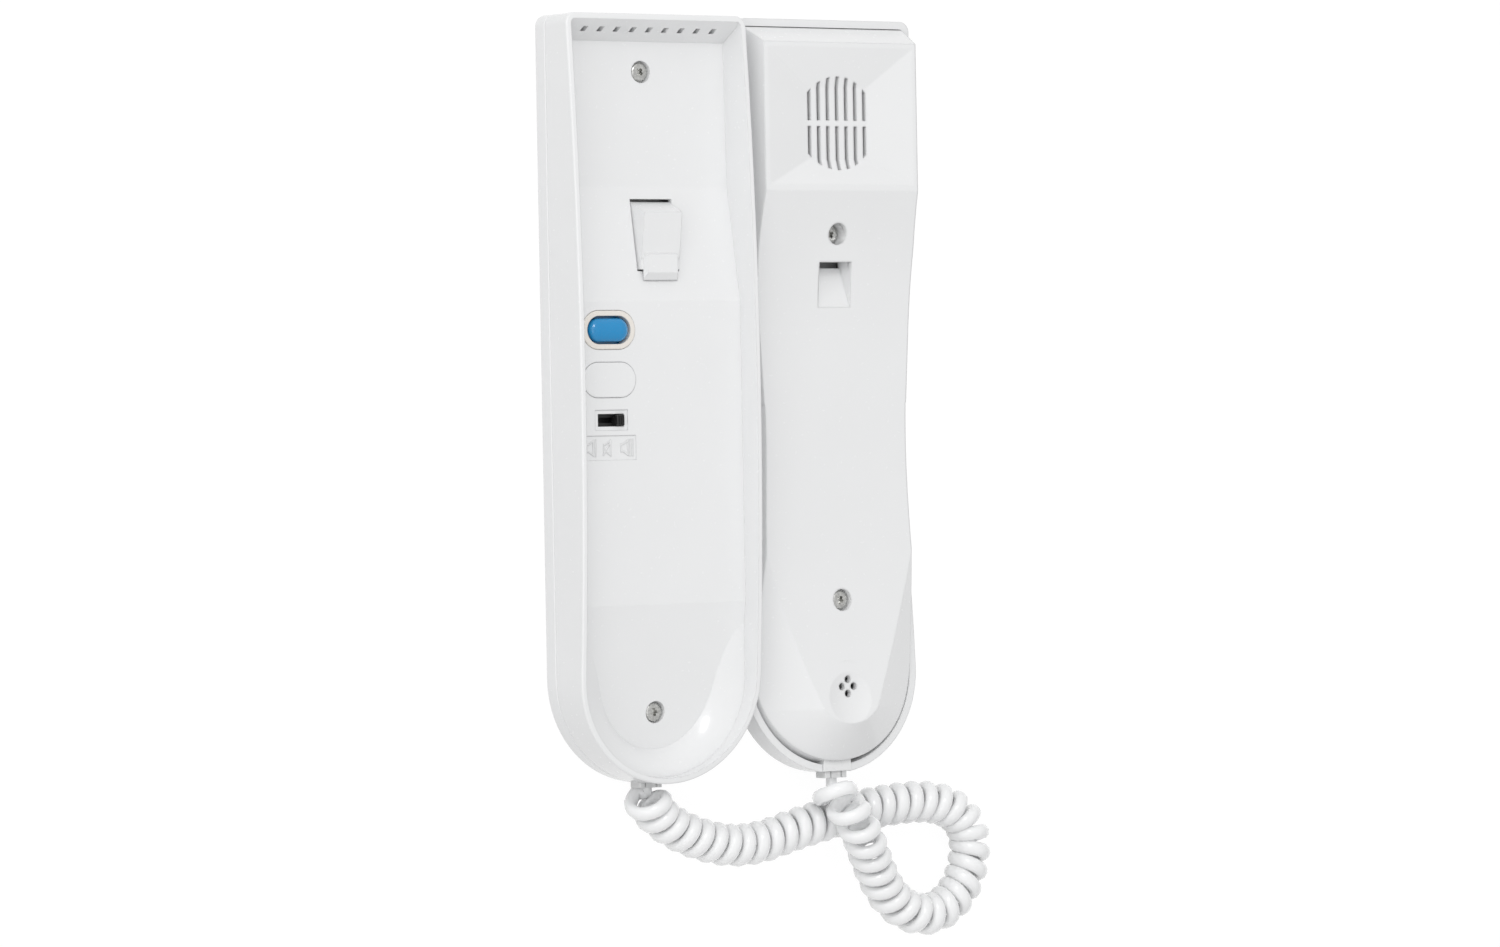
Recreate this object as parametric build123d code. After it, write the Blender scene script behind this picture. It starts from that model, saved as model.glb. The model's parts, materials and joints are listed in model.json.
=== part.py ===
from build123d import *

import math
import os

# An audio intercom handset, lying on a table: its wall unit on its back, and the handset
# beside it on its outer cover, joined by a curly cord. All lengths are in millimetres.
# The origin is the middle of the wall unit's back face. X points right, Y up along the
# unit and Z away from the wall.

# Overall sizes, shared by the wall unit and the handset
unit_width = 60.0
unit_height = 215.0
corner_radius = 3.3
rim_middle_height = 21.1
rim_bow = 4.8
hung_thickness = 26.4
hung_rim_gap = 0.4
handset_gap = 1.3

# Shared clearances and the overrun of every cut
overrun = 6.0
fit_clearance = 0.1
seat_gap = 0.2
pin_clearance = 0.04

# Case of the wall unit
seam_height = 5.2
seam_chamfer = 0.3
case_wall = 1.8
plate_thickness = 1.8
rim_wall = 1.4
rim_rounding = 0.5
back_rounding = 0.6
wall_draft = 0.05
tray_top_inset = 7.2
tray_top_height = 7.6
tray_top_slope = 1.6
tray_upper_crease_share = 0.5535
tray_upper_crease_height = 8.3
tray_middle_crease_share = 0.2549
tray_middle_height = 13.7
tray_lower_crease_rise = 50.2
tray_lower_fall = 0.145

# Bowl at the lower end of the tray: half widths, heights and centres of three levels
bowl_low_half_width = 14.5
bowl_low_height = 7.0
bowl_low_centre_rise = 24.5
bowl_middle_half_width = 18.0
bowl_middle_height = 9.8
bowl_middle_centre_rise = 26.0
bowl_rim_height = 12.8

# Sound slots in the tray's top wall
vent_count = 9
vent_pitch = 5.35
vent_width = 1.6
vent_height = 1.2
vent_inset = 4.2
vent_left_x = -21.4

# Cover screws and their seats
screw_head_diameter = 5.4
screw_head_height = 1.5
screw_shank_diameter = 2.8
screw_length = 4.4
screw_cross_width = 0.8
screw_cross_length = 3.2
screw_cross_depth = 0.9
screw_seat_diameter = 6.2
screw_seat_depth = 2.1
screw_floor = 1.2
screw_cup_wall = 1.4
boss_diameter = 7.0
upper_screw_inset = 15.7
lower_screw_rise = 19.9

# Wall fixing slots and cable entry
wall_slot_spacing_share = 0.6512
wall_slot_middle_y = -2.0
wall_slot_width = 4.5
wall_slot_length = 8.0
cable_entry_width = 20.0
cable_entry_height = 10.0
cable_entry_rise = 50.5

# Hook lever
lever_centre_x = 1.8
lever_front_half_width = 6.25
slot_half_width = 6.95
lever_top_share = 0.5144
lever_front_top_share = 0.4865
lever_front_foot_share = 0.3693
lever_lip_share = 0.3293
lever_tip_share = 0.3088
lever_front_height = 15.4
lever_foot_height = 13.6
lever_lip_height = 14.7
lever_lip_half_width = 4.95
lever_lip_foot_half_width = 5.7
lever_tip_height = 13.2
lever_low_height = 5.7
lever_tail_share = 0.2847
lever_tail_low_height = 7.5
lever_tail_high_height = 8.9
lever_wall = 1.4
lever_lip_bevel = 0.7
lever_pivot_share = 0.3572
lever_pivot_height = 7.9
lever_pin_diameter = 2.0
lever_ear_thickness = 2.0
lever_ear_length = 5.6
lever_side_gap = 0.2
lever_end_gap = 0.4
slot_top_share = 0.5219
slot_foot_share = 0.334
spring_diameter = 4.6
spring_wire = 0.5
spring_turns = 6
spring_side_gap = 0.5
spring_post_diameter = 3.0
spring_post_height = 2.6

# Circuit board and what it carries
board_foot_share = -0.4428
board_width_share = 0.7333
board_thickness = 1.6
board_top_share = 0.3107
board_height = 2.6
board_post_diameter = 5.0
board_corner_inset = 3.5
board_screw_head_diameter = 4.0
board_screw_head_height = 1.4
board_screw_shank_diameter = 1.9
board_screw_length = 3.4
hook_switch_length = 8.0
hook_switch_width = 5.6
hook_switch_body_height = 2.4
hook_switch_plunger_height = 0.7
hook_switch_plunger_diameter = 1.8
chip_length = 10.0
chip_width = 4.0
chip_height = 1.6
chip_xs_share = (-0.05, 0.27, 0.27)
chip_ys_share = (0.22, 0.12, -0.14)
capacitor_diameter = 6.3
capacitor_height = 6.6
capacitor_xs_share = (0.33, 0.33, -0.02)
capacitor_ys_share = (0.32, -0.32, 0.02)
sounder_diameter = 12.0
sounder_height = 6.2
sounder_port_diameter = 2.0
sounder_x_share = 0.05
sounder_y_share = -0.24
terminal_pitch = 5.0
terminal_count = 5
terminal_depth = 7.6
terminal_height = 6.8
terminal_screw_diameter = 3.0
terminal_screw_height = 0.6
terminal_screw_slot = 0.6
terminal_entry_width = 2.6
terminal_entry_height = 2.6
terminal_edge_gap = 1.0

# Door button, its bezel and the blank plug in the second place
button_left_inset = 13.9
button_share = 0.1814
button_length = 13.3
button_width = 6.9
button_proud = 1.4
button_rounding = 1.2
button_flange = 0.8
button_flange_thickness = 1.2
button_low_height = 9.6
bezel_length = 17.4
bezel_width = 10.8
bezel_proud = 0.3
bezel_side_gap = 0.5
bezel_flange = 0.9
bezel_flange_thickness = 0.7
blank_spacing = 13.9
blank_width = 9.8
tact_body_side = 6.0
tact_body_height = 3.0
tact_plunger_diameter = 3.2
tact_plunger_height = 0.75

# Slide switch for the loudness of the call, and the signs below it
switch_left_inset = 14.4
switch_spacing = 25.1
switch_opening_length = 8.6
switch_opening_width = 3.5
switch_surround = 1.1
switch_surround_depth = 0.35
switch_body_length = 12.0
switch_body_width = 6.4
switch_groove_width = 1.5
switch_groove_depth = 2.4
knob_length = 2.6
knob_width = 2.9
knob_proud = 0.7
knob_stem_width = 1.2
knob_stem_depth = 2.0
knob_end_gap = 0.3
sign_panel_left_inset = 5.0
sign_panel_width = 17.4
sign_panel_spacing = 4.3
sign_panel_height = 6.8
sign_panel_depth = 0.3
sign_relief = 0.22
sign_height = 4.8
sign_width = 2.6
sign_line = 0.4
sign_lean = -35
sign_pitch = 5.7
sign_first_inset = 0.9

# Modular sockets and plugs
jack_length = 10.2
jack_width = 9.4
jack_wall = 0.6
plug_width = 7.6
plug_thickness = 5.0
plug_gap = 0.12
plug_body_length = 9.4
plug_insertion = 8.0
plug_latch_width = 3.2
plug_latch_thickness = 0.7
plug_contact_width = 0.5
plug_contact_pitch = 1.02
plug_contact_length = 3.0
base_jack_height = 4.0
handset_jack_height = 6.9

# Outer cover and inner shell of the handset
side_waist = 1.9
waist_top_share = 0.4186
waist_foot_share = -0.6512
cover_wall = 2.2
cover_floor = 2.2
cover_rounding = 1.8
shell_inset = 2.35
shell_wall = 1.7
shell_low_height = 3.3
shell_draft_share = 0.2
grip_height = 12.5
grip_upper_share = 0.186
grip_lower_share = -0.186
mic_face_radius = 459.0
mic_pad_half_width = 10.3
mic_pad_height = 17.1
mic_crease_rise = 18.6
mic_foot_rise = 12.3
mic_side_share = 1.75
mic_end_share = 1.55
mic_taper_share = 0.18
mic_slope_low_height = 8.0
mic_slope_margin = 1.6

# Head of the handset, with the ear grille
head_side_inset = 2.3
head_frame_side_inset = 3.7
head_frame_height = 17.9
head_seam_height = 9.4
head_top_inset = 2.4
head_frame_top_inset = 6.9
head_ridge_share = 0.5442
head_neck_share = 0.3907
head_neck_foot_share = -0.0186
head_neck_step = 2.6
head_overlap_share = 0.614
ear_pyramid_side_inset = 5.1
ear_pyramid_top_inset = 8.3
ear_pyramid_foot_share = 0.56
ear_pyramid_depth = 2.3
grille_share = 0.7228
grille_radius = 13.3
grille_half_width = 10.2
grille_slot_pitch = 3.17
grille_slot_width = 1.15
grille_slot_count = 7
grille_bar = 1.7
grille_thickness = 1.6

# What the handset holds
handset_upper_screw_share = 0.4307
handset_lower_screw_rise = 49.5
handset_upper_seat_depth = 5.2
handset_lower_seat_depth = 2.6
speaker_diameter = 28.0
speaker_rim_height = 2.6
speaker_magnet_diameter = 15.0
speaker_magnet_height = 4.6
speaker_felt_thickness = 0.6
speaker_collar_wall = 1.4
speaker_collar_depth = 4.0
foam_diameter = 14.0
mic_rise = 24.9
mic_dish_diameter = 13.0
mic_dish_depth = 0.9
mic_hole_diameter = 2.1
mic_hole_offset = 2.05
mic_capsule_diameter = 9.7
mic_capsule_height = 5.0
mic_boot_wall = 1.2
mic_collar_wall = 1.2
mic_collar_depth = 4.5
pocket_half_width = 5.55
pocket_top_share = 0.3563
pocket_foot_share = 0.2363
pocket_depth = 5.0
pocket_hole_height = 1.6
lead_diameter = 1.2
lead_bend_share = 0.45

# Curly cord
cord_wire = 2.5
coil_diameter = 11.4
coil_turns = 41.75
coil_start_share = 0.76
steps_per_turn = 4

# Places and sizes worked out from the sizes above
half_width = unit_width / 2
half_height = unit_height / 2
end_centre_y = half_width - half_height
handset_x = unit_width + handset_gap
wall_slot_spacing = wall_slot_spacing_share * unit_height
tray_top_y = half_height - tray_top_inset
vent_y = half_height - vent_inset
upper_screw_y = half_height - upper_screw_inset
tray_upper_crease_y = tray_upper_crease_share * half_height
tray_middle_crease_y = tray_middle_crease_share * half_height
tray_lower_crease_y = tray_lower_crease_rise - half_height
bowl_low_centre_y = bowl_low_centre_rise - half_height
bowl_middle_centre_y = bowl_middle_centre_rise - half_height
lower_screw_y = lower_screw_rise - half_height
cable_entry_y = cable_entry_rise - half_height
lever_top_y = lever_top_share * half_height
lever_front_top_y = lever_front_top_share * half_height
lever_front_foot_y = lever_front_foot_share * half_height
lever_lip_y = lever_lip_share * half_height
lever_tip_y = lever_tip_share * half_height
lever_tail_y = lever_tail_share * half_height
lever_pivot_y = lever_pivot_share * half_height
slot_top_y = slot_top_share * half_height
slot_foot_y = slot_foot_share * half_height
board_top_y = board_top_share * half_height
board_foot_y = board_foot_share * half_height
button_y = button_share * half_height
button_x = button_left_inset - half_width
switch_x = switch_left_inset - half_width
blank_y = button_y - blank_spacing
switch_y = button_y - switch_spacing
sign_panel_left_x = sign_panel_left_inset - half_width
sign_panel_right_x = sign_panel_left_x + sign_panel_width
sign_panel_top_y = switch_y - sign_panel_spacing
spring_y = lever_front_top_y - lever_wall - spring_diameter / 2 - spring_side_gap
board_width = board_width_share * unit_width
board_length = board_top_y - board_foot_y
board_top = board_height + board_thickness
board_middle_y = (board_top_y + board_foot_y) / 2
jack_height = plug_thickness + 2 * (plug_gap + jack_wall)
hole_drop = tray_middle_height - case_wall
head_top_y = half_height - head_top_inset
head_frame_top_y = half_height - head_frame_top_inset
ear_pyramid_top_y = half_height - ear_pyramid_top_inset
head_ridge_y = head_ridge_share * half_height
head_neck_y = head_neck_share * half_height
head_neck_foot_y = head_neck_foot_share * half_height
head_overlap_y = head_overlap_share * half_height
ear_pyramid_foot_y = ear_pyramid_foot_share * half_height
grille_y = grille_share * half_height
handset_upper_screw_y = handset_upper_screw_share * half_height
pocket_top_y = pocket_top_share * half_height
pocket_foot_y = pocket_foot_share * half_height
grip_upper_y = grip_upper_share * half_height
grip_lower_y = grip_lower_share * half_height
waist_top_y = waist_top_share * half_height
waist_foot_y = waist_foot_share * half_height
mic_crease_y = mic_crease_rise - half_height
mic_foot_y = mic_foot_rise - half_height
mic_y = mic_rise - half_height
handset_lower_screw_y = handset_lower_screw_rise - half_height
head_half_width = half_width - head_side_inset
head_frame_half_width = half_width - head_frame_side_inset
ear_pyramid_half_width = half_width - ear_pyramid_side_inset
neck_rise = head_frame_height - grip_height
neck_radius = ((head_ridge_y - grip_upper_y) ** 2 + neck_rise ** 2) / (2 * neck_rise)


# Shared outlines and solids

def rim_height(y):
    """Height of the wall unit's bowed rim."""
    return rim_middle_height - rim_bow * (y / half_height) ** 2


def handset_seam_height(y):
    """Height of the edge of the handset's outer cover, which follows the rim it hangs on."""
    return hung_thickness - hung_rim_gap - rim_height(y)


def tray_floor(y):
    """Height of the tray's floor along the unit."""
    if y > tray_upper_crease_y:
        run = tray_top_y - tray_upper_crease_y
        share = (y - tray_upper_crease_y) / run
        return tray_upper_crease_height + share * (tray_top_height - tray_upper_crease_height)
    if y > tray_middle_crease_y:
        run = tray_upper_crease_y - tray_middle_crease_y
        share = (y - tray_middle_crease_y) / run
        return tray_middle_height + share * (tray_upper_crease_height - tray_middle_height)
    if y > tray_lower_crease_y:
        return tray_middle_height
    return tray_middle_height - tray_lower_fall * (tray_lower_crease_y - y)


def face_height(y, inset):
    """Height of the handset's inner face along its middle, or of a surface below it."""
    level = grip_height - inset
    if y > grip_upper_y:
        radius = neck_radius + inset
        return level + radius - math.sqrt(radius ** 2 - (y - grip_upper_y) ** 2)
    if y < grip_lower_y:
        radius = mic_face_radius + inset
        return level + radius - math.sqrt(radius ** 2 - (grip_lower_y - y) ** 2)
    return level


def handset_face(y):
    """Height of the handset's inner face along its middle."""
    return head_frame_height if y > head_ridge_y else face_height(y, 0)


def outline(inset, waist=0.0):
    """The shared outline: square shoulders at the top and a half circle at the foot."""
    half = half_width - inset
    top = half_height - inset
    corner = max(corner_radius - inset, corner_radius / 4)
    bend = corner * (1 - math.sqrt(0.5))
    right = side_edges(half, top - corner, waist)
    left = [mirror(edge, about=Plane.YZ) for edge in right]
    right_corner = ThreePointArc((half, top - corner), (half - bend, top - bend), (half - corner, top))
    shoulder = Line((half - corner, top), (corner - half, top))
    left_corner = ThreePointArc((corner - half, top), (bend - half, top - bend), (-half, top - corner))
    end = ThreePointArc((-half, end_centre_y), (0, end_centre_y - half), (half, end_centre_y))
    return make_face(right + left + [right_corner, shoulder, left_corner, end])


def side_edges(half, top, waist):
    """The right side of the outline: straight, or drawn in smoothly at its middle."""
    if not waist:
        return [Line((half, end_centre_y), (half, top))]
    middle_y = (waist_foot_y + waist_top_y) / 2
    upwards = (0, 1)
    drawn_in = Spline((half, waist_foot_y), (half - waist, middle_y), (half, waist_top_y),
                      tangents=(upwards, upwards))
    below = Line((half, end_centre_y), (half, waist_foot_y))
    above = Line((half, waist_top_y), (half, top))
    return [below, drawn_in, above]


def prism(face, low, high):
    """A face of the XY plane as a solid between two heights."""
    return extrude(Pos(0, 0, low) * face, amount=high - low, dir=(0, 0, 1))


def side_prism(points, reach):
    """A solid with a (Y, Z) outline, reaching as far to the left as to the right."""
    face = make_face(Polyline(*[(0, y, z) for y, z in points], close=True))
    return extrude(face, amount=reach, both=True, dir=(1, 0, 0))


def tube(x, y, radius, low, high):
    """An upright cylinder between two heights."""
    return Pos(x, y, low) * Cylinder(radius, high - low, align=(Align.CENTER, Align.CENTER, Align.MIN))


def block(x_low, x_high, y_low, y_high, z_low, z_high):
    """A box given by its six sides."""
    centre = ((x_low + x_high) / 2, (y_low + y_high) / 2, (z_low + z_high) / 2)
    return Pos(*centre) * Box(x_high - x_low, y_high - y_low, z_high - z_low)


def stadium(x, y, length, width, low, high):
    """An upright solid with a stadium outline, its long side along X."""
    return Pos(x, y, 0) * prism(SlotOverall(length, width), low, high)


def below_curve(height_at, low):
    """Everything below a bowed edge that runs along the unit."""
    end = half_height + overrun
    arc = ThreePointArc((0, -end, height_at(-end)), (0, 0, height_at(0)), (0, end, height_at(end)))
    sides = Polyline((0, end, height_at(end)), (0, end, low), (0, -end, low), (0, -end, height_at(-end)))
    face = make_face([arc] + sides.edges())
    return extrude(face, amount=unit_width, both=True, dir=(1, 0, 0))


def cross_screw(x, y, head_top, head_diameter, head_height, shank_diameter, length):
    """A pan head screw with a cross recess, its head up."""
    head_low = head_top - head_height
    head = tube(x, y, head_diameter / 2, head_low, head_top)
    head = fillet(head.edges().sort_by(Axis.Z)[-1:], head_height * 0.4)
    shank = tube(x, y, shank_diameter / 2, head_low - length, head_low)
    screw = head + shank
    recess_low = head_top - screw_cross_depth
    reach = screw_cross_length / 2
    thin = screw_cross_width / 2
    screw -= block(x - reach, x + reach, y - thin, y + thin, recess_low, head_top + overrun)
    screw -= block(x - thin, x + thin, y - reach, y + reach, recess_low, head_top + overrun)
    return screw


# Wall unit: case

def tray_space():
    """The hollow that the handset hangs in."""
    top = rim_middle_height + overrun
    end = half_height + overrun
    slope_end_y = tray_top_y + (top - tray_top_height) / tray_top_slope
    above_floor = side_prism([
        (slope_end_y, top),
        (tray_top_y, tray_top_height),
        (tray_upper_crease_y, tray_upper_crease_height),
        (tray_middle_crease_y, tray_middle_height),
        (tray_lower_crease_y, tray_middle_height),
        (-end, tray_floor(-end)),
        (-end, top),
    ], unit_width)
    foot_inset = rim_wall + wall_draft * (rim_middle_height - seam_height)
    mouth_inset = rim_wall - wall_draft * overrun
    mouth = loft([Pos(0, 0, seam_height) * outline(foot_inset), Pos(0, 0, top) * outline(mouth_inset)],
                 ruled=True)
    open_part = block(-unit_width, unit_width, -end, end, bowl_rim_height, top)
    open_part += block(-unit_width, unit_width, tray_lower_crease_y / 2, end, 0, top)
    open_part += bowl()
    return above_floor & mouth & open_part


def bowl_level(half, centre_y, height):
    """One level of the bowl: a half circle with straight sides."""
    top_y = tray_lower_crease_y / 2
    right = Line((half, centre_y), (half, top_y))
    top = Line((half, top_y), (-half, top_y))
    left = Line((-half, top_y), (-half, centre_y))
    end = ThreePointArc((-half, centre_y), (0, centre_y - half), (half, centre_y))
    return Pos(0, 0, height) * make_face([right, top, left, end])


def bowl():
    """The dished lower end of the tray."""
    rim_half = half_width - rim_wall - wall_draft * (rim_middle_height - bowl_rim_height)
    return loft([
        bowl_level(bowl_low_half_width, bowl_low_centre_y, bowl_low_height),
        bowl_level(bowl_middle_half_width, bowl_middle_centre_y, bowl_middle_height),
        bowl_level(rim_half, end_centre_y, bowl_rim_height),
    ])


def under_floor_space():
    """The hollow of the front cover below the tray's floor."""
    slope_run = math.hypot(1, tray_top_slope)
    wedge_y = tray_top_y + case_wall * (slope_run - 1) / tray_top_slope
    end_y = half_height - case_wall
    end = half_height + overrun
    below_floor = side_prism([
        (end, seam_height - overrun),
        (end, tray_top_height - case_wall + tray_top_slope * (end_y - wedge_y)),
        (end_y, tray_top_height - case_wall + tray_top_slope * (end_y - wedge_y)),
        (wedge_y, tray_top_height - case_wall),
        (tray_upper_crease_y, tray_upper_crease_height - case_wall),
        (tray_middle_crease_y, tray_middle_height - case_wall),
        (tray_lower_crease_y, tray_middle_height - case_wall),
        (-end, tray_floor(-end) - case_wall),
        (-end, seam_height - overrun),
    ], unit_width)
    return below_floor & prism(outline(case_wall), 0, rim_middle_height)


def screw_cup(y, surface, seat_depth, top):
    """A screw's cup below a surface, and the space cut into it."""
    outer = screw_seat_diameter / 2 + screw_cup_wall
    seat = surface - seat_depth
    cup = tube(0, y, outer, seat - screw_floor, top)
    space = tube(0, y, screw_seat_diameter / 2, seat, surface + overrun)
    hole = tube(0, y, screw_shank_diameter / 2 + fit_clearance, seat - overrun, seat + overrun)
    return cup, space + hole


def jack_space(x, height, low, high):
    """The opening for a socket in the lower end of a case, between two heights."""
    half = jack_width / 2 + fit_clearance
    inner_y = -half_height + jack_length + fit_clearance
    z_low = max(low, height - jack_height / 2 - fit_clearance)
    z_high = min(high, height + jack_height / 2 + fit_clearance)
    return block(x - half, x + half, -half_height - overrun, inner_y, z_low, z_high)


def horn_face(x, middle_y, margin):
    """The outline of a small horn, or the same outline drawn in by a margin."""
    back = x + margin
    neck = x + sign_width / 3
    front = x + sign_width - margin
    low = sign_height / 4 - margin
    high = sign_height / 2 - 2 * margin
    return make_face(Polyline(
        (back, middle_y - low),
        (neck, middle_y - low),
        (front, middle_y - high),
        (front, middle_y + high),
        (neck, middle_y + low),
        (back, middle_y + low),
        close=True))


def loudness_sign(x, bars, crossed):
    """A raised sign in fine lines: a small horn, with bars for loud or a stroke for off."""
    low = tray_middle_height - sign_panel_depth - seat_gap
    high = tray_middle_height - sign_panel_depth + sign_relief
    middle_y = sign_panel_top_y - sign_panel_height / 2
    half = sign_height / 2
    sign = prism(horn_face(x, middle_y, 0) - horn_face(x, middle_y, sign_line), low, high)
    for index in range(bars):
        bar_x = x + sign_width + sign_line * (2 * index + 1)
        sign += block(bar_x, bar_x + sign_line, middle_y - half, middle_y + half, low, high)
    if crossed:
        stroke = Box(sign_line, sign_height, high - low)
        middle_x = x + sign_width / 2
        sign += Pos(middle_x, middle_y, (low + high) / 2) * Rot(0, 0, sign_lean) * stroke
    return sign


def make_front_cover():
    """The visible tray of the wall unit."""
    cover = prism(outline(0), seam_height, rim_middle_height + overrun)
    cover = chamfer(cover.faces().sort_by(Axis.Z)[0].edges(), seam_chamfer)
    cover &= below_curve(rim_height, 0)
    cover = fillet(outer_rim_edges(cover), rim_rounding)
    cover -= tray_space()
    cover -= under_floor_space()
    hole_top = tray_middle_height + overrun
    for y in (upper_screw_y, lower_screw_y):
        cup, space = screw_cup(y, tray_floor(y), screw_seat_depth, tray_floor(y) - case_wall / 2)
        cover += cup
        cover -= space
    cover += lever_ears()
    cover -= block(lever_centre_x - slot_half_width, lever_centre_x + slot_half_width,
                   slot_foot_y, slot_top_y, tray_upper_crease_height - overrun, hole_top)
    cover -= stadium(button_x, button_y, bezel_length + 2 * fit_clearance,
                     bezel_width + 2 * fit_clearance, hole_drop - overrun, hole_top)
    cover -= stadium(button_x, blank_y, bezel_length + 2 * fit_clearance,
                     blank_width + 2 * fit_clearance, hole_drop - overrun, hole_top)
    cover -= switch_opening(switch_surround, tray_middle_height - switch_surround_depth)
    cover -= switch_opening(0, hole_drop - overrun)
    panel_low = tray_middle_height - sign_panel_depth
    cover -= block(sign_panel_left_x, sign_panel_right_x, sign_panel_top_y - sign_panel_height,
                   sign_panel_top_y, panel_low, hole_top)
    for index, bars in enumerate((1, 0, 2)):
        x = sign_panel_left_x + sign_first_inset + index * sign_pitch
        cover += loudness_sign(x, bars, bars == 0)
    for index in range(vent_count):
        x = vent_left_x + index * vent_pitch
        cover -= block(x - vent_width / 2, x + vent_width / 2, vent_y - vent_height / 2,
                       vent_y + vent_height / 2, seam_height - overrun, rim_middle_height)
    cover -= jack_space(0, base_jack_height, 0, rim_middle_height)
    return cover


def outer_rim_edges(solid):
    """The long edges round the highest rim of an upright shell."""
    top_face = solid.faces().filter_by(GeomType.PLANE, reverse=True).sort_by(Axis.Z)[-1]
    return top_face.edges()


def switch_opening(margin, low):
    """The opening for the slide switch's knob, or the shallow step round it."""
    half = switch_opening_length / 2 + margin
    across = switch_opening_width / 2 + margin
    return block(switch_x - half, switch_x + half, switch_y - across, switch_y + across,
                 low, tray_middle_height + overrun)


def lever_ears():
    """The two ears under the tray's floor that carry the lever's pin."""
    inner = slot_half_width + fit_clearance
    outer = inner + lever_ear_thickness
    half = lever_ear_length / 2
    ears = None
    for side in (-1, 1):
        edges = sorted((lever_centre_x + side * inner, lever_centre_x + side * outer))
        ear = block(edges[0], edges[1], lever_pivot_y - half, lever_pivot_y + half,
                    lever_pivot_height - half + seat_gap, tray_floor(lever_pivot_y - half) - case_wall / 2)
        ears = ear if ears is None else ears + ear
    return ears - lever_pin_rod(pin_clearance / 2)


def lever_pin_rod(growth):
    """The lever's pin, or the hole for it."""
    length = 2 * (slot_half_width + fit_clearance + lever_ear_thickness)
    rod = Cylinder(lever_pin_diameter / 2 + growth, length + 2 * growth)
    return Pos(lever_centre_x, lever_pivot_y, lever_pivot_height) * Rot(0, 90, 0) * rod


def make_wall_plate():
    """The back plate of the wall unit, with posts, screw bosses and openings."""
    plate = prism(outline(0), 0, seam_height)
    plate = fillet(plate.faces().sort_by(Axis.Z)[0].edges(), back_rounding)
    plate = chamfer(plate.faces().sort_by(Axis.Z)[-1].edges(), seam_chamfer)
    plate -= prism(outline(case_wall), plate_thickness, seam_height + overrun)
    for y in (upper_screw_y, lower_screw_y):
        top = tray_floor(y) - screw_seat_depth - screw_floor
        plate += tube(0, y, boss_diameter / 2, plate_thickness - seat_gap, top)
        tip = tray_floor(y) - screw_seat_depth - screw_length - seat_gap
        plate -= tube(0, y, screw_shank_diameter / 2 + fit_clearance / 2, tip, top + overrun)
    for x, y in board_corners():
        plate += tube(x, y, board_post_diameter / 2, plate_thickness - seat_gap, board_height)
        tip = board_top - board_screw_length - seat_gap
        plate -= tube(x, y, board_screw_shank_diameter / 2 + fit_clearance / 2, tip, board_height + overrun)
    plate += tube(lever_centre_x, spring_y, spring_post_diameter / 2, plate_thickness - seat_gap,
                  plate_thickness + spring_post_height)
    for side in (-1, 1):
        y = wall_slot_middle_y + side * wall_slot_spacing / 2
        slot = Rot(0, 0, 90) * SlotOverall(wall_slot_length, wall_slot_width)
        plate -= Pos(0, y, 0) * prism(slot, -overrun, seam_height)
    half_entry = cable_entry_height / 2
    plate -= block(-cable_entry_width / 2, cable_entry_width / 2, cable_entry_y - half_entry,
                   cable_entry_y + half_entry, -overrun, seam_height)
    plate -= jack_space(0, base_jack_height, 0, seam_height + overrun)
    return plate


def make_cover_screws():
    """The two screws of the wall unit's case."""
    screws = []
    for y in (upper_screw_y, lower_screw_y):
        head_top = tray_floor(y) - screw_seat_depth + screw_head_height
        screws.append(cross_screw(0, y, head_top, screw_head_diameter, screw_head_height,
                                  screw_shank_diameter, screw_length))
    return Compound(children=screws)


# Wall unit: hook lever

def lever_lip():
    """The raised lip at the lever's lower end, narrower at its top than at its foot."""
    def level(half, low_y, high_y, height):
        return Pos(0, (low_y + high_y) / 2, height) * Rectangle(2 * half, high_y - low_y)

    foot = level(lever_lip_foot_half_width, lever_tip_y, lever_front_foot_y + 2 * lever_lip_bevel,
                 lever_tip_height)
    top = level(lever_lip_half_width, lever_lip_y, lever_front_foot_y + lever_lip_bevel, lever_lip_height)
    return loft([foot, top], ruled=True)


def make_hook_lever():
    """The lever that the handset presses when it hangs."""
    pin_half = lever_pin_diameter / 2 + lever_wall
    side = side_prism([
        (lever_top_y, lever_low_height),
        (lever_top_y, tray_upper_crease_height),
        (lever_front_top_y, lever_front_height),
        (lever_front_foot_y, lever_foot_height),
        (lever_front_foot_y - lever_lip_bevel, lever_tip_height),
        (slot_foot_y + lever_end_gap, lever_tip_height),
        (slot_foot_y + lever_end_gap, lever_tail_high_height),
        (lever_tail_y, lever_tail_high_height),
        (lever_tail_y, lever_tail_low_height),
        (lever_pivot_y - pin_half, lever_tail_low_height),
        (lever_pivot_y - pin_half + seat_gap, lever_low_height),
    ], slot_half_width)
    low_half = slot_half_width - lever_side_gap
    front = make_face(Polyline(
        (-low_half, 0, lever_low_height),
        (low_half, 0, lever_low_height),
        (low_half, 0, tray_upper_crease_height),
        (lever_front_half_width, 0, lever_front_height),
        (-lever_front_half_width, 0, lever_front_height),
        (-low_half, 0, tray_upper_crease_height),
        close=True))
    lever = side & extrude(front, amount=half_height, both=True, dir=(0, 1, 0))
    hollow_half = lever_front_half_width - lever_wall
    lever -= block(-hollow_half, hollow_half, lever_pivot_y + pin_half, lever_front_top_y - lever_wall,
                   lever_low_height - overrun, lever_foot_height - lever_wall)
    lever = Pos(lever_centre_x, 0, 0) * (lever + lever_lip())
    return lever - lever_pin_rod(pin_clearance)


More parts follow.
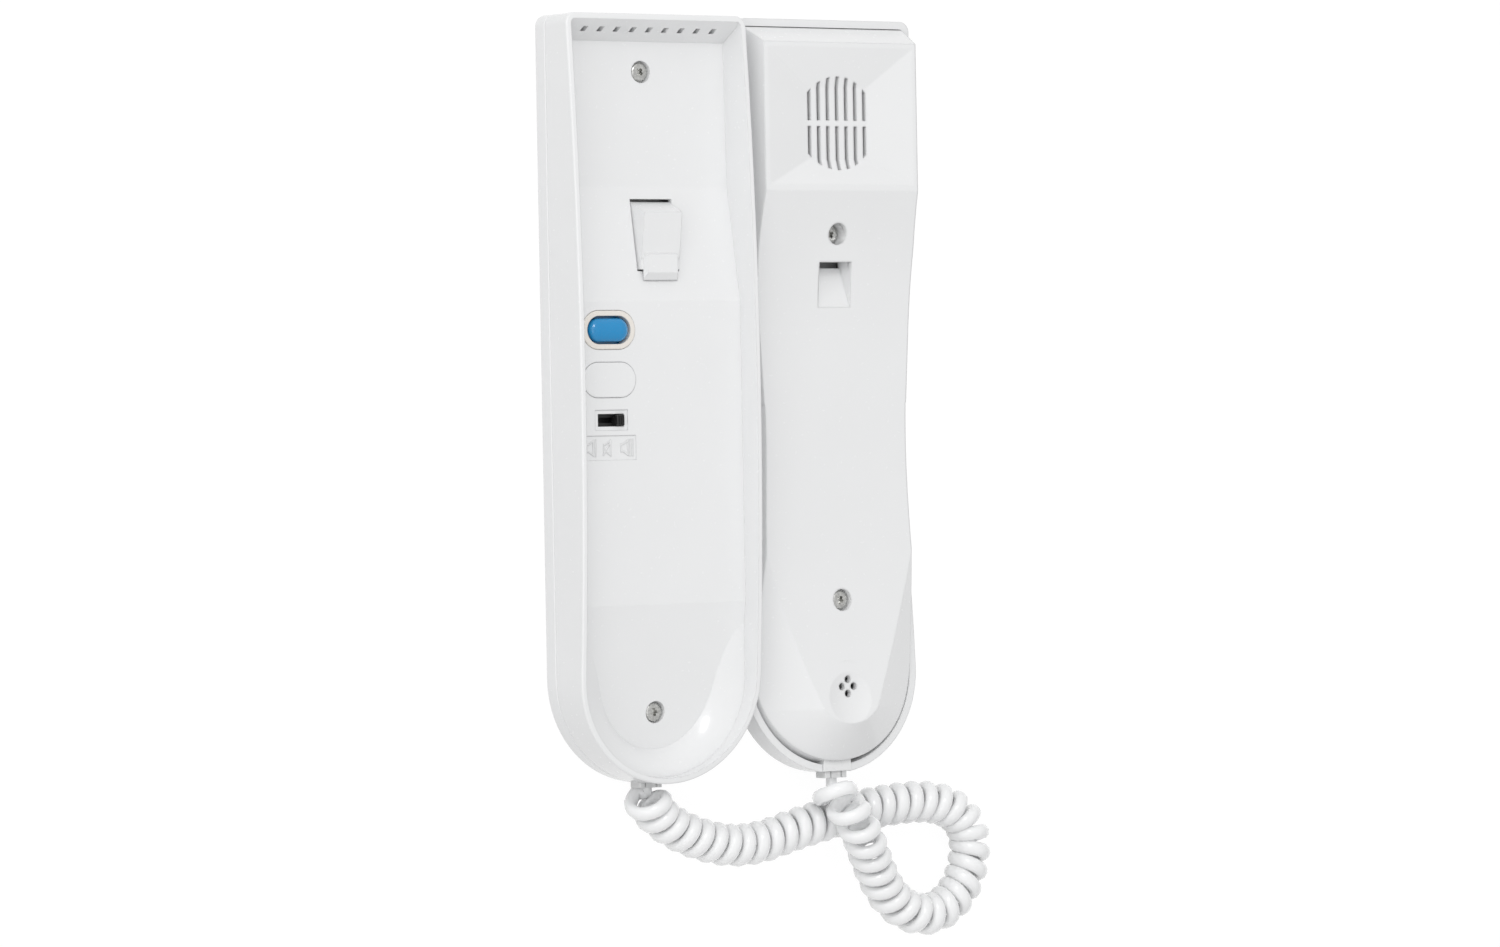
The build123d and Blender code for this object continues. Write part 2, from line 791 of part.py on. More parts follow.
def make_hook_spring():
    """The lever's return spring, a wound wire on its post."""
    low = plate_thickness + spring_wire / 2 + seat_gap / 2
    high = lever_foot_height - lever_wall - spring_wire / 2 - seat_gap / 2
    radius = (spring_diameter - spring_wire) / 2
    points = []
    for step in range(spring_turns * steps_per_turn + 1):
        angle = 2 * math.pi * step / steps_per_turn
        share = step / (spring_turns * steps_per_turn)
        centre = Vector(lever_centre_x, spring_y, low + share * (high - low))
        points.append(centre + Vector(math.cos(angle), math.sin(angle), 0) * radius)
    rise = (high - low) / (spring_turns * 2 * math.pi)
    tangents = []
    for point in points:
        out = Vector(point.X - lever_centre_x, point.Y - spring_y, 0)
        tangents.append(Vector(-out.Y, out.X, rise).normalized())
    return wound_tube(points, tangents, spring_wire, [], [])


# Wall unit: circuit board

def board_corners():
    """The centres of the board's four screws."""
    across = board_width / 2 - board_corner_inset
    upper = board_top_y - board_corner_inset
    lower = board_foot_y + board_corner_inset
    return [(x, y) for x in (-across, across) for y in (upper, lower)]


def make_circuit_board():
    """The board, with its screw holes."""
    board = block(-board_width / 2, board_width / 2, board_foot_y, board_top_y, board_height, board_top)
    for x, y in board_corners():
        board -= tube(x, y, board_screw_shank_diameter / 2 + fit_clearance, 0, board_top + overrun)
    return board


def make_board_screws():
    """The board's four screws."""
    screws = []
    for x, y in board_corners():
        head_top = board_top + board_screw_head_height
        head = tube(x, y, board_screw_head_diameter / 2, board_top, head_top)
        shank = tube(x, y, board_screw_shank_diameter / 2, board_top - board_screw_length, board_top)
        slot = block(x - board_screw_head_diameter, x + board_screw_head_diameter,
                     y - terminal_screw_slot / 2, y + terminal_screw_slot / 2,
                     head_top - terminal_screw_slot, head_top + overrun)
        screws.append(head + shank - slot)
    return Compound(children=screws)


def make_hook_switch():
    """The small switch below the lever's tail."""
    y = lever_tail_y + hook_switch_width / 4
    body_top = board_top + hook_switch_body_height
    switch = block(lever_centre_x - hook_switch_length / 2, lever_centre_x + hook_switch_length / 2,
                   y - hook_switch_width / 2, y + hook_switch_width / 2, board_top, body_top)
    return switch + tube(lever_centre_x, y, hook_switch_plunger_diameter / 2, body_top - seat_gap,
                         body_top + hook_switch_plunger_height)


def make_door_switch():
    """The small push switch below the door button."""
    half = tact_body_side / 2
    body_top = board_top + tact_body_height
    switch = block(button_x - half, button_x + half, button_y - half, button_y + half, board_top, body_top)
    return switch + tube(button_x, button_y, tact_plunger_diameter / 2, body_top - seat_gap,
                         body_top + tact_plunger_height)


def make_chips():
    """The board's three chips."""
    chips = []
    for x_share, y_share in zip(chip_xs_share, chip_ys_share):
        x = x_share * board_width
        y = board_middle_y + y_share * board_length
        chips.append(block(x - chip_width / 2, x + chip_width / 2, y - chip_length / 2,
                           y + chip_length / 2, board_top, board_top + chip_height))
    return Compound(children=chips)


def make_capacitors():
    """The board's round capacitors."""
    cans = []
    for x_share, y_share in zip(capacitor_xs_share, capacitor_ys_share):
        x = x_share * board_width
        y = board_middle_y + y_share * board_length
        can = tube(x, y, capacitor_diameter / 2, board_top, board_top + capacitor_height)
        cans.append(fillet(can.edges().sort_by(Axis.Z)[-1:], capacitor_diameter / 20))
    return Compound(children=cans)


def make_call_sounder():
    """The round sounder that rings for a call."""
    x = sounder_x_share * board_width
    y = board_middle_y + sounder_y_share * board_length
    top = board_top + sounder_height
    body = tube(x, y, sounder_diameter / 2, board_top, top)
    return body - tube(x, y, sounder_port_diameter / 2, top - sounder_height / 2, top + overrun)


def terminal_places():
    """The X of each wire terminal."""
    middle = (terminal_count - 1) / 2
    return [(index - middle) * terminal_pitch for index in range(terminal_count)]


def make_terminal_block():
    """The row of wire terminals near the cable entry."""
    low_y = board_foot_y + terminal_edge_gap
    half = terminal_count * terminal_pitch / 2
    top = board_top + terminal_height
    body = block(-half, half, low_y, low_y + terminal_depth, board_top, top)
    for x in terminal_places():
        body -= tube(x, low_y + terminal_depth / 2, terminal_screw_diameter / 2 + fit_clearance,
                     top - 2 * terminal_screw_height, top + overrun)
        body -= block(x - terminal_entry_width / 2, x + terminal_entry_width / 2, low_y - overrun,
                      low_y + terminal_depth / 3, board_top + terminal_entry_height / 2,
                      board_top + terminal_entry_height * 1.5)
    return body


def make_terminal_screws():
    """The screws of the wire terminals."""
    y = board_foot_y + terminal_edge_gap + terminal_depth / 2
    top = board_top + terminal_height
    screws = []
    for x in terminal_places():
        screw = tube(x, y, terminal_screw_diameter / 2, top - 2 * terminal_screw_height,
                     top - terminal_screw_height / 2)
        screw -= block(x - terminal_screw_diameter, x + terminal_screw_diameter,
                       y - terminal_screw_slot / 2, y + terminal_screw_slot / 2,
                       top - terminal_screw_height, top + overrun)
        screws.append(screw)
    return Compound(children=screws)


# Wall unit: button, bezel, blank and slide switch

def make_door_button():
    """The blue door button, a cap with a flange below the bezel."""
    top = tray_middle_height + button_proud
    cap = stadium(button_x, button_y, button_length, button_width, button_low_height, top)
    cap = fillet(cap.faces().sort_by(Axis.Z)[-1].edges(), button_rounding)
    flange = stadium(button_x, button_y, button_length + 2 * button_flange,
                     button_width + 2 * button_flange, button_low_height,
                     button_low_height + button_flange_thickness)
    return cap + flange


def bezel_body(y, width):
    """The outer shape of the bezel and of the blank: a plate with a flange behind the floor."""
    flange_top = hole_drop - fit_clearance
    body = stadium(button_x, y, bezel_length, width, flange_top - bezel_flange_thickness,
                   tray_middle_height + bezel_proud)
    body = fillet(body.faces().sort_by(Axis.Z)[-1].edges(), bezel_proud)
    return body + stadium(button_x, y, bezel_length + 2 * bezel_flange, width + 2 * bezel_flange,
                          flange_top - bezel_flange_thickness, flange_top)


def make_button_bezel():
    """The pale ring round the door button."""
    opening = stadium(button_x, button_y, button_length + 2 * bezel_side_gap,
                      button_width + 2 * bezel_side_gap, 0, tray_middle_height + overrun)
    return bezel_body(button_y, bezel_width) - opening


def make_blank_plug():
    """The plug in the second button's place."""
    return bezel_body(blank_y, blank_width)


def make_volume_switch():
    """The body of the slide switch, which fills the space below its opening."""
    top = hole_drop - seat_gap
    half = switch_body_length / 2
    across = switch_body_width / 2
    body = block(switch_x - half, switch_x + half, switch_y - across, switch_y + across, board_top, top)
    groove_half = switch_opening_length / 2
    return body - block(switch_x - groove_half, switch_x + groove_half,
                        switch_y - switch_groove_width / 2, switch_y + switch_groove_width / 2,
                        top - switch_groove_depth, top + overrun)


def make_volume_knob():
    """The knob of the slide switch, at the right end of its travel."""
    right = switch_x + switch_opening_length / 2 - knob_end_gap
    left = right - knob_length
    top = tray_middle_height + knob_proud
    low = hole_drop - seat_gap / 2
    knob = block(left, right, switch_y - knob_width / 2, switch_y + knob_width / 2, low, top)
    knob = fillet(knob.faces().sort_by(Axis.Z)[-1].edges(), knob_end_gap)
    middle = (left + right) / 2
    return knob + block(middle - knob_length / 3, middle + knob_length / 3,
                        switch_y - knob_stem_width / 2, switch_y + knob_stem_width / 2,
                        low - knob_stem_depth, low + seat_gap)


# Sockets and plugs

def make_jack(x, height):
    """A modular socket, open at the lower end of its case."""
    half = jack_width / 2
    inner_y = -half_height + jack_length
    low = height - jack_height / 2
    high = height + jack_height / 2
    body = block(x - half, x + half, -half_height + jack_wall, inner_y, low, high)
    plug_half = plug_width / 2 + plug_gap
    plug_low = height - plug_thickness / 2 - plug_gap
    plug_high = height + plug_thickness / 2 + plug_gap
    inside_y = -half_height + plug_insertion + jack_wall
    return body - block(x - plug_half, x + plug_half, -half_height - overrun, inside_y,
                        plug_low, plug_high)


def make_plug(x, height):
    """A four-way modular plug with its latch and contacts, seated in its socket."""
    inner_y = -half_height + plug_insertion
    outer_y = inner_y - plug_body_length
    half = plug_width / 2
    low = height - plug_thickness / 2
    high = height + plug_thickness / 2
    body = block(x - half, x + half, outer_y, inner_y, low, high)
    body = fillet(body.edges().filter_by(Axis.Y), plug_contact_width)
    slot_half = plug_latch_width / 2 + plug_contact_width
    latch_half = plug_latch_width / 2
    body -= block(x - slot_half, x + slot_half, outer_y - overrun, inner_y - plug_contact_length,
                  high - plug_latch_thickness, high + overrun)
    latch = block(x - latch_half, x + latch_half, outer_y, inner_y - plug_contact_length + plug_gap,
                  high - plug_latch_thickness - plug_gap, high - plug_gap)
    body += latch
    for index in range(4):
        contact_x = x + (index - 1.5) * plug_contact_pitch
        body -= block(contact_x - plug_contact_width / 2, contact_x + plug_contact_width / 2,
                      inner_y - plug_contact_length, inner_y + overrun, low - overrun,
                      low + plug_contact_width)
    return body


def cable_tube(points, diameter):
    """A lead along straight runs joined by tangent arcs."""
    vectors = [Vector(*point) for point in points]
    radii = []
    for before, here, after in zip(vectors, vectors[1:], vectors[2:]):
        turn = (here - before).get_angle(after - here)
        shorter = min((here - before).length, (after - here).length)
        radii.append(lead_bend_share * shorter / math.tan(math.radians(turn) / 2))
    path = FilletPolyline(*vectors, radius=radii)
    first = (vectors[1] - vectors[0]).normalized()
    section = Plane(origin=vectors[0], z_dir=first) * Circle(diameter / 2)
    return sweep(section, path=path)


# Handset

def make_handset_cover():
    """The outer cover of the handset, open towards the inner shell."""
    cover = prism(outline(0, side_waist), 0, hung_thickness)
    cover &= below_curve(handset_seam_height, -overrun)
    cover = fillet(cover.faces().sort_by(Axis.Z)[0].edges(), cover_rounding)
    cover -= prism(outline(cover_wall, side_waist), cover_floor, hung_thickness)
    for y, depth in handset_screw_places():
        top = handset_face(y) - depth - screw_floor
        cover += tube(0, y, boss_diameter / 2, cover_floor - seat_gap, top)
        tip = handset_face(y) - depth - screw_length - seat_gap
        cover -= tube(0, y, screw_shank_diameter / 2 + fit_clearance / 2, tip, top + overrun)
    cover -= jack_space(0, handset_jack_height, 0, hung_thickness)
    return Pos(handset_x, 0, 0) * cover


def handset_screw_places():
    """The Y and the seat depth of the handset's two screws."""
    return [(handset_upper_screw_y, handset_upper_seat_depth),
            (handset_lower_screw_y, handset_lower_seat_depth)]


def shell_side(inset, top):
    """The side view of the inner shell, or of the space inside it, up to a given height."""
    level = grip_height - inset
    radius = neck_radius + inset
    crest_y = grip_upper_y + math.sqrt(radius ** 2 - (radius - (top - level)) ** 2)
    end = half_height + overrun

    def curve(start_y, end_y):
        return ThreePointArc(*[(0, y, face_height(y, inset))
                               for y in (start_y, (start_y + end_y) / 2, end_y)])

    neck = curve(crest_y, grip_upper_y)
    grip = Line((0, grip_upper_y, level), (0, grip_lower_y, level))
    mic_end = curve(grip_lower_y, -end)
    rest = Polyline((0, -end, face_height(-end, inset)), (0, -end, -overrun), (0, end, -overrun),
                    (0, end, top), (0, crest_y, top))
    face = make_face([neck, grip, mic_end] + rest.edges())
    return extrude(face, amount=unit_width, both=True, dir=(1, 0, 0))


def grip_plan(inset):
    """The drafted sides of the grip and the microphone end."""
    low_inset = shell_inset + inset
    middle_seam = handset_seam_height(0)
    high_inset = low_inset + shell_draft_share * (hung_thickness - middle_seam)
    low_face = Pos(0, 0, middle_seam) * outline(low_inset, side_waist)
    high_face = Pos(0, 0, hung_thickness) * outline(high_inset, side_waist)
    body = loft([low_face, high_face], ruled=True)
    body += prism(outline(low_inset, side_waist), shell_low_height - inset, middle_seam)
    end = half_height + overrun
    return body & block(-unit_width, unit_width, -end, head_overlap_y, -overrun, hung_thickness)


def shell_body(inset, top):
    """The inner shell as a whole, or the space inside it."""
    body = grip_plan(inset) + head_plan(inset)
    return body & shell_side(inset, top) & mic_slopes(inset)


def mic_level(drop, inset):
    """One level of the slopes round the microphone pad, a given drop below the pad's edge."""
    half = mic_pad_half_width - inset + mic_side_share * drop
    wide = half + mic_taper_share * (grip_lower_y - mic_crease_y)
    foot_y = mic_foot_y + inset - mic_end_share * drop
    right = Line((half, mic_crease_y), (wide, grip_lower_y))
    top = Line((wide, grip_lower_y), (-wide, grip_lower_y))
    left = Line((-wide, grip_lower_y), (-half, mic_crease_y))
    foot = ThreePointArc((-half, mic_crease_y), (0, foot_y), (half, mic_crease_y))
    return Pos(0, 0, mic_pad_height - inset - drop) * make_face([right, top, left, foot])


def mic_slopes(inset):
    """The sloped sides of the microphone end, with everything above and below left whole."""
    low = mic_slope_low_height - inset
    levels = [mic_level(drop, inset) for drop in (mic_pad_height - mic_slope_low_height, -mic_slope_margin)]
    space = loft(levels, ruled=True)
    space += block(-unit_width, unit_width, -unit_height, grip_lower_y, -overrun, low)
    return space + block(-unit_width, unit_width, grip_lower_y, unit_height, -overrun, hung_thickness)


def head_level(half, top_y, height, inset):
    """One level of the head: a square shoulder that narrows slowly to the grip."""
    wide = half - inset
    neck = wide - head_neck_step
    face = make_face(Polyline(
        (wide, top_y - inset),
        (-wide, top_y - inset),
        (-wide, head_neck_y),
        (-neck, head_neck_foot_y),
        (neck, head_neck_foot_y),
        (wide, head_neck_y),
        close=True))
    return Pos(0, 0, height) * face


def head_plan(inset):
    """The drafted sides of the head, inside the outer cover's wall."""
    rise = head_frame_height - head_seam_height
    narrowing = head_half_width - head_frame_half_width
    lean = (head_top_y - head_frame_top_y) / rise
    above = overrun / rise
    low_face = head_level(head_half_width, head_top_y, head_seam_height, inset)
    high_face = head_level(head_frame_half_width - narrowing * above, head_frame_top_y - lean * overrun,
                           head_frame_height + overrun, inset)
    body = loft([low_face, high_face], ruled=True)
    low = shell_low_height - inset
    body += prism(head_level(head_half_width, head_top_y, 0, inset), low, head_seam_height)
    return body & prism(outline(shell_inset + inset, side_waist), low, head_frame_height + 2 * overrun)


def grille_face(radius, half):
    """The grille's outline: a circle with its left and right cut off."""
    reach = 2 * radius
    return Circle(radius) & Rectangle(2 * half, reach)


def ear_pyramid():
    """The hollow in the head that leads down to the grille."""
    high = head_frame_height
    low = head_frame_height - ear_pyramid_depth
    middle_y = (ear_pyramid_top_y + ear_pyramid_foot_y) / 2
    length = ear_pyramid_top_y - ear_pyramid_foot_y
    mouth = Pos(0, middle_y, 0) * Rectangle(2 * ear_pyramid_half_width, length)
    narrow = Pos(0, grille_y, low) * Rectangle(2 * grille_half_width, 2 * grille_half_width)
    return loft([narrow, Pos(0, 0, high) * mouth], ruled=True) + prism(mouth, high, high + overrun)


def grille_slots():
    """The upright slots of the ear grille, parted by one level bar."""
    low = head_frame_height - ear_pyramid_depth - grille_thickness - overrun
    high = head_frame_height + overrun
    middle = (grille_slot_count - 1) / 2
    slots = None
    for index in range(grille_slot_count):
        x = (index - middle) * grille_slot_pitch
        slot = block(x - grille_slot_width / 2, x + grille_slot_width / 2, grille_y - grille_radius,
                     grille_y + grille_radius, low, high)
        slots = slot if slots is None else slots + slot
    slots &= prism(Pos(0, grille_y, 0) * grille_face(grille_radius, grille_half_width), low, high)
    return slots - block(-unit_width, unit_width, grille_y - grille_bar / 2, grille_y + grille_bar / 2,
                         0, high + overrun)


def hook_pocket():
    """The pocket that the hook lever's lip enters: a ramp, with a hole into the shell at its top."""
    high = grip_height + overrun
    deep = grip_height - pocket_depth
    hole_y = pocket_top_y - pocket_hole_height
    ramp = side_prism([
        (pocket_foot_y, high),
        (pocket_foot_y, grip_height - seat_gap),
        (hole_y, deep),
        (pocket_top_y, deep),
        (pocket_top_y, high),
    ], pocket_half_width)
    plan = make_face(Polyline(
        (-pocket_half_width, pocket_foot_y),
        (pocket_half_width, pocket_foot_y),
        (pocket_half_width, pocket_top_y),
        (-pocket_half_width, pocket_top_y),
        close=True))
    hole = block(-pocket_half_width, pocket_half_width, hole_y, pocket_top_y,
                 deep - shell_wall, deep + seat_gap)
    return (ramp & prism(plan, 0, high)) + hole


def pocket_box():
    """The walls round the hook pocket, inside the shell."""
    wall = shell_wall
    half = pocket_half_width + wall
    deep = grip_height - pocket_depth - wall / 2
    return block(-half, half, pocket_foot_y, pocket_top_y + wall, deep, grip_height - wall / 2)


def make_handset_shell():
    """The inner shell of the handset, with the ear grille, hook pocket and microphone holes."""
    hollow_top = head_frame_height - ear_pyramid_depth - grille_thickness
    shell = shell_body(0, head_frame_height) - shell_body(shell_wall, hollow_top)
    shell += pocket_box()
    for y, depth in handset_screw_places():
        cup, space = screw_cup(y, handset_face(y), depth, handset_face(y) - shell_wall)
        shell += cup
    shell += speaker_collar()
    shell += mic_collar()
    for y, depth in handset_screw_places():
        cup, space = screw_cup(y, handset_face(y), depth, handset_face(y))
        shell -= space
    shell -= hook_pocket()
    shell -= ear_pyramid()
    shell -= grille_slots()
    shell -= mic_openings()
    shell -= jack_space(0, handset_jack_height, 0, hung_thickness)
    return Pos(handset_x, 0, 0) * shell


def speaker_top():
    """Height of the receiver's front, below its felt."""
    return head_frame_height - ear_pyramid_depth - grille_thickness - speaker_felt_thickness


def speaker_collar():
    """The round wall that holds the receiver behind the grille."""
    high = head_frame_height - ear_pyramid_depth - grille_thickness + seat_gap
    inner = speaker_diameter / 2 + seat_gap
    collar = tube(0, grille_y, inner + speaker_collar_wall, high - speaker_collar_depth, high)
    return collar - tube(0, grille_y, inner, high - speaker_collar_depth - overrun, high + overrun)


def mic_ceiling():
    """Height of the flat seat above the microphone."""
    return handset_face(mic_y) - mic_dish_depth - shell_wall


def mic_collar():
    """The round wall that holds the microphone's boot."""
    inner = mic_capsule_diameter / 2 + mic_boot_wall + fit_clearance
    high = handset_face(mic_y) - shell_wall / 2
    low = mic_ceiling() - mic_collar_depth
    collar = tube(0, mic_y, inner + mic_collar_wall, low, high)
    return collar - tube(0, mic_y, inner, low - overrun, mic_ceiling())


def mic_openings():
    """The dish in the microphone pad and its four holes."""
    face = handset_face(mic_y)
    radius = mic_dish_diameter / 2
    sphere_radius = (radius ** 2 + mic_dish_depth ** 2) / (2 * mic_dish_depth)
    openings = Pos(0, mic_y, face - mic_dish_depth + sphere_radius) * Sphere(sphere_radius)
    for x, y in ((0, 1), (0, -1), (1, 0), (-1, 0)):
        openings += tube(x * mic_hole_offset, mic_y + y * mic_hole_offset, mic_hole_diameter / 2,
                         mic_ceiling() - overrun / 6, face + overrun)
    return openings


def make_handset_screws():
    """The two screws of the handset."""
    screws = []
    for y, depth in handset_screw_places():
        head_top = handset_face(y) - depth + screw_head_height
        screws.append(cross_screw(handset_x, y, head_top, screw_head_diameter, screw_head_height,
                                  screw_shank_diameter, screw_length))
    return Compound(children=screws)


def make_earpiece():
    """The receiver capsule: a rimmed disc with a magnet behind it."""
    top = speaker_top()
    rim_low = top - speaker_rim_height
    rim = tube(handset_x, grille_y, speaker_diameter / 2, rim_low, top)
    magnet = tube(handset_x, grille_y, speaker_magnet_diameter / 2, rim_low - speaker_magnet_height,
                  rim_low + seat_gap)
    return rim + magnet


def make_earpiece_felt():
    """The thin felt between the receiver and the grille."""
    top = speaker_top() + speaker_felt_thickness
    return tube(handset_x, grille_y, speaker_diameter / 2 - seat_gap, speaker_top(), top)


def make_earpiece_foam():
    """The foam that presses the receiver forward from the outer cover."""
    high = speaker_top() - speaker_rim_height - speaker_magnet_height
    return tube(handset_x, grille_y, foam_diameter / 2, cover_floor, high)


def make_microphone():
    """The microphone capsule."""
    top = mic_ceiling() - mic_boot_wall
    return tube(handset_x, mic_y, mic_capsule_diameter / 2, top - mic_capsule_height, top)


def make_microphone_boot():
    """The rubber boot round the microphone, open behind."""
    top = mic_ceiling()
    low = top - mic_boot_wall - mic_capsule_height
    boot = tube(handset_x, mic_y, mic_capsule_diameter / 2 + mic_boot_wall, low, top)
    boot -= tube(handset_x, mic_y, mic_capsule_diameter / 2, low - overrun, top - mic_boot_wall)
    return boot - tube(handset_x, mic_y, mic_hole_offset + mic_hole_diameter / 2, low, top + overrun)


def make_handset_leads():
    """The two leads from the handset's socket, to the receiver and to the microphone."""
    start_y = -half_height + jack_length
    level = handset_jack_height - jack_height / 4
    beside = boss_diameter / 2 + 2 * screw_cup_wall + lead_diameter
    magnet_edge = speaker_magnet_diameter / 2
    speaker_level = speaker_top() - speaker_rim_height - speaker_magnet_height / 2
    low_level = cover_floor + lead_diameter
    long_lead = cable_tube([
        (handset_x + lead_diameter, start_y, level),
        (handset_x + lead_diameter, start_y + 4 * lead_diameter, level),
        (handset_x + beside, start_y + 14 * lead_diameter, low_level),
        (handset_x + beside + lead_diameter, (start_y + grille_y) / 2, low_level + lead_diameter / 3),
        (handset_x + beside, grille_y - 3 * magnet_edge, low_level),
        (handset_x, grille_y - magnet_edge - 4 * lead_diameter, speaker_level),
        (handset_x, grille_y - magnet_edge, speaker_level),
    ], lead_diameter)
    mic_low = mic_ceiling() - mic_boot_wall - mic_capsule_height
    short_lead = cable_tube([
        (handset_x - lead_diameter, start_y, level),
        (handset_x - lead_diameter, start_y + 4 * lead_diameter, level),
        (handset_x - 2 * lead_diameter, mic_y, low_level),
        (handset_x - 2 * lead_diameter, mic_y, mic_low),
    ], lead_diameter)
    return Compound(children=[long_lead, short_lead])


def make_base_leads():
    """The two leads from the wall unit's socket to the circuit board."""
    start_y = -half_height + jack_length
    beside = boss_diameter / 2 + 2 * screw_cup_wall
    board_level = board_height + board_thickness / 2
    run = board_foot_y - start_y
    leads = []
    for side in (-1, 1):
        leads.append(cable_tube([
            (side * lead_diameter, start_y, base_jack_height),
            (side * lead_diameter, start_y + 2 * lead_diameter, base_jack_height),
            (side * (beside + lead_diameter), start_y + run / 5, board_level + lead_diameter / 2),
            (side * (cable_entry_width / 2 + 2 * lead_diameter), start_y + 3 * run / 4, board_level),
            (side * (cable_entry_width / 2 + 2 * lead_diameter), board_foot_y, board_level),
        ], lead_diameter))
    return Compound(children=leads)


# Curly cord

# The centre line of the coil, chosen by hand from the photograph, from the wall unit's plug
# to the handset's plug: on the table all the way, then up and over its own first stretch.
cord_route = [
    (-2.0, -116.0, 6.0),
    (1.8, -119.7, 5.9),
    (8.4, -122.4, 5.9),
    (18.2, -125.0, 5.9),
    (29.0, -126.5, 5.9),
    (39.5, -126.5, 5.9),
    (48.5, -124.8, 5.9),
    (57.7, -122.4, 5.9),
    (67.0, -120.9, 5.9),
    (80.0, -119.3, 5.9),
    (90.5, -118.4, 5.9),
    (98.8, -119.4, 5.9),
    (105.6, -123.6, 5.9),
    (109.2, -130.4, 5.9),
    (108.9, -138.2, 5.9),
    (105.4, -145.2, 5.9),
    (99.2, -149.6, 5.9),
    (91.8, -149.8, 5.9),
    (85.4, -146.2, 6.2),
    (80.4, -140.8, 7.4),
    (76.0, -135.4, 10.2),
    (71.4, -130.4, 14.0),
    (66.6, -125.6, 17.2),
    (62.2, -120.8, 18.5),
    (58.8, -116.2, 17.9),
    (57.0, -112.2, 15.9),
]


def biarc_edges(points, tangents):
    """Arcs through the points, two to a span, that follow the tangents."""
    edges = []
    for start, end, leave, arrive in zip(points, points[1:], tangents, tangents[1:]):
        chord = end - start
        along = leave + arrive
        steep = 2 * (1 - leave.dot(arrive))
        reach = chord.dot(along)
        if steep < 1e-9:
            length = chord.dot(chord) / (4 * chord.dot(arrive))
        else:
            length = (math.sqrt(reach ** 2 + steep * chord.dot(chord)) - reach) / steep
        middle = (start + end + (leave - arrive) * length) / 2
        joint = (end - arrive * length) - (start + leave * length)
        edges.append(arc_or_line(start, leave, middle))
        edges.append(arc_or_line(middle, joint.normalized(), end))
    return edges


def arc_or_line(start, tangent, end):
    """A tangent arc, or a line where the arc would be straight."""
    if tangent.get_angle(end - start) < 0.01:
        return Edge.make_line(start, end)
    return Edge.make_tangent_arc(start, tangent, end)


def wound_tube(points, tangents, wire, lead_in, lead_out):
    """One unbroken round wire along biarcs, with straight ends where given."""
    edges = []
    if lead_in:
        edges.append(Edge.make_line(lead_in[0], points[0]))
    edges += biarc_edges(points, tangents)
    if lead_out:
        edges.append(Edge.make_line(points[-1], lead_out[0]))
    first = lead_in[0] if lead_in else points[0]
    section = Plane(origin=first, z_dir=tangents[0]) * Circle(wire / 2)
    return sweep(section, path=Wire(edges))


def coil_frame(axis, share):
    """The centre of the coil, its sideways and its upward direction at a share of its length."""
    centre = axis.position_at(share)
    along = axis.tangent_at(share)
    side = Vector(0, 0, 1).cross(along).normalized()
    return centre, side, along.cross(side)


def coil_point(axis, share, radius):
    """A point of the wound wire, which turns to the left on its way."""
    centre, side, up = coil_frame(axis, share)
    angle = 2 * math.pi * (coil_start_share - coil_turns * share)
    return centre + side * (radius * math.cos(angle)) + up * (radius * math.sin(angle))


def cord_path():
    """The ends of the cord, and the points and tangents of the wire between its straight ends."""
    axis = Spline(*cord_route)
    radius = (coil_diameter - cord_wire) / 2
    count = round(coil_turns * steps_per_turn)
    probe = 0.001 / coil_turns
    points = []
    tangents = []
    for step in range(count + 1):
        share = step / count
        points.append(coil_point(axis, share, radius))
        after = coil_point(axis, min(share + probe, 1), radius)
        before = coil_point(axis, max(share - probe, 0), radius)
        tangents.append((after - before).normalized())
    down = Vector(0, -1, 0)
    plug_y = -half_height + plug_insertion - plug_body_length
    base_exit = Vector(0, plug_y, base_jack_height)
    handset_exit = Vector(handset_x, plug_y, handset_jack_height)
    points = [base_exit + down * cord_wire] + points + [handset_exit + down * cord_wire]
    tangents = [down] + tangents + [down * -1]
    return base_exit, points, tangents, handset_exit


def least_gap(edges, wire, reach):
    """The least gap of the wire to itself, measured on points along it."""
    samples = []
    travelled = 0.0
    for edge in edges:
        for share in (0, 1 / 3, 2 / 3):
            samples.append((travelled + share * edge.length, edge.position_at(share)))
        travelled += edge.length
    least = math.inf
    for index, (place, point) in enumerate(samples):
        for other_place, other in samples[index + 1:]:
            if other_place - place > reach:
                least = min(least, (other - point).length)
    return least - wire, travelled


def make_coil_cord():
    """The curly cord from plug to plug."""
    base_exit, points, tangents, handset_exit = cord_path()
    cord = wound_tube(points, tangents, cord_wire, [base_exit], [handset_exit])
    edges = biarc_edges(points, tangents)
    gap, length = least_gap(edges, cord_wire, coil_diameter)
    length += 2 * cord_wire
    least_radius = min(edge.radius for edge in edges if edge.geom_type == GeomType.CIRCLE)
    expected = math.pi * cord_wire ** 2 / 4 * length
    print(f"cord: wire length {length:.0f} mm, least gap to itself {gap:.2f} mm, "
          f"least radius {least_radius:.2f} mm")
    print(f"cord: volume {cord.volume:.0f} mm3, section times length {expected:.0f} mm3")
    return cord


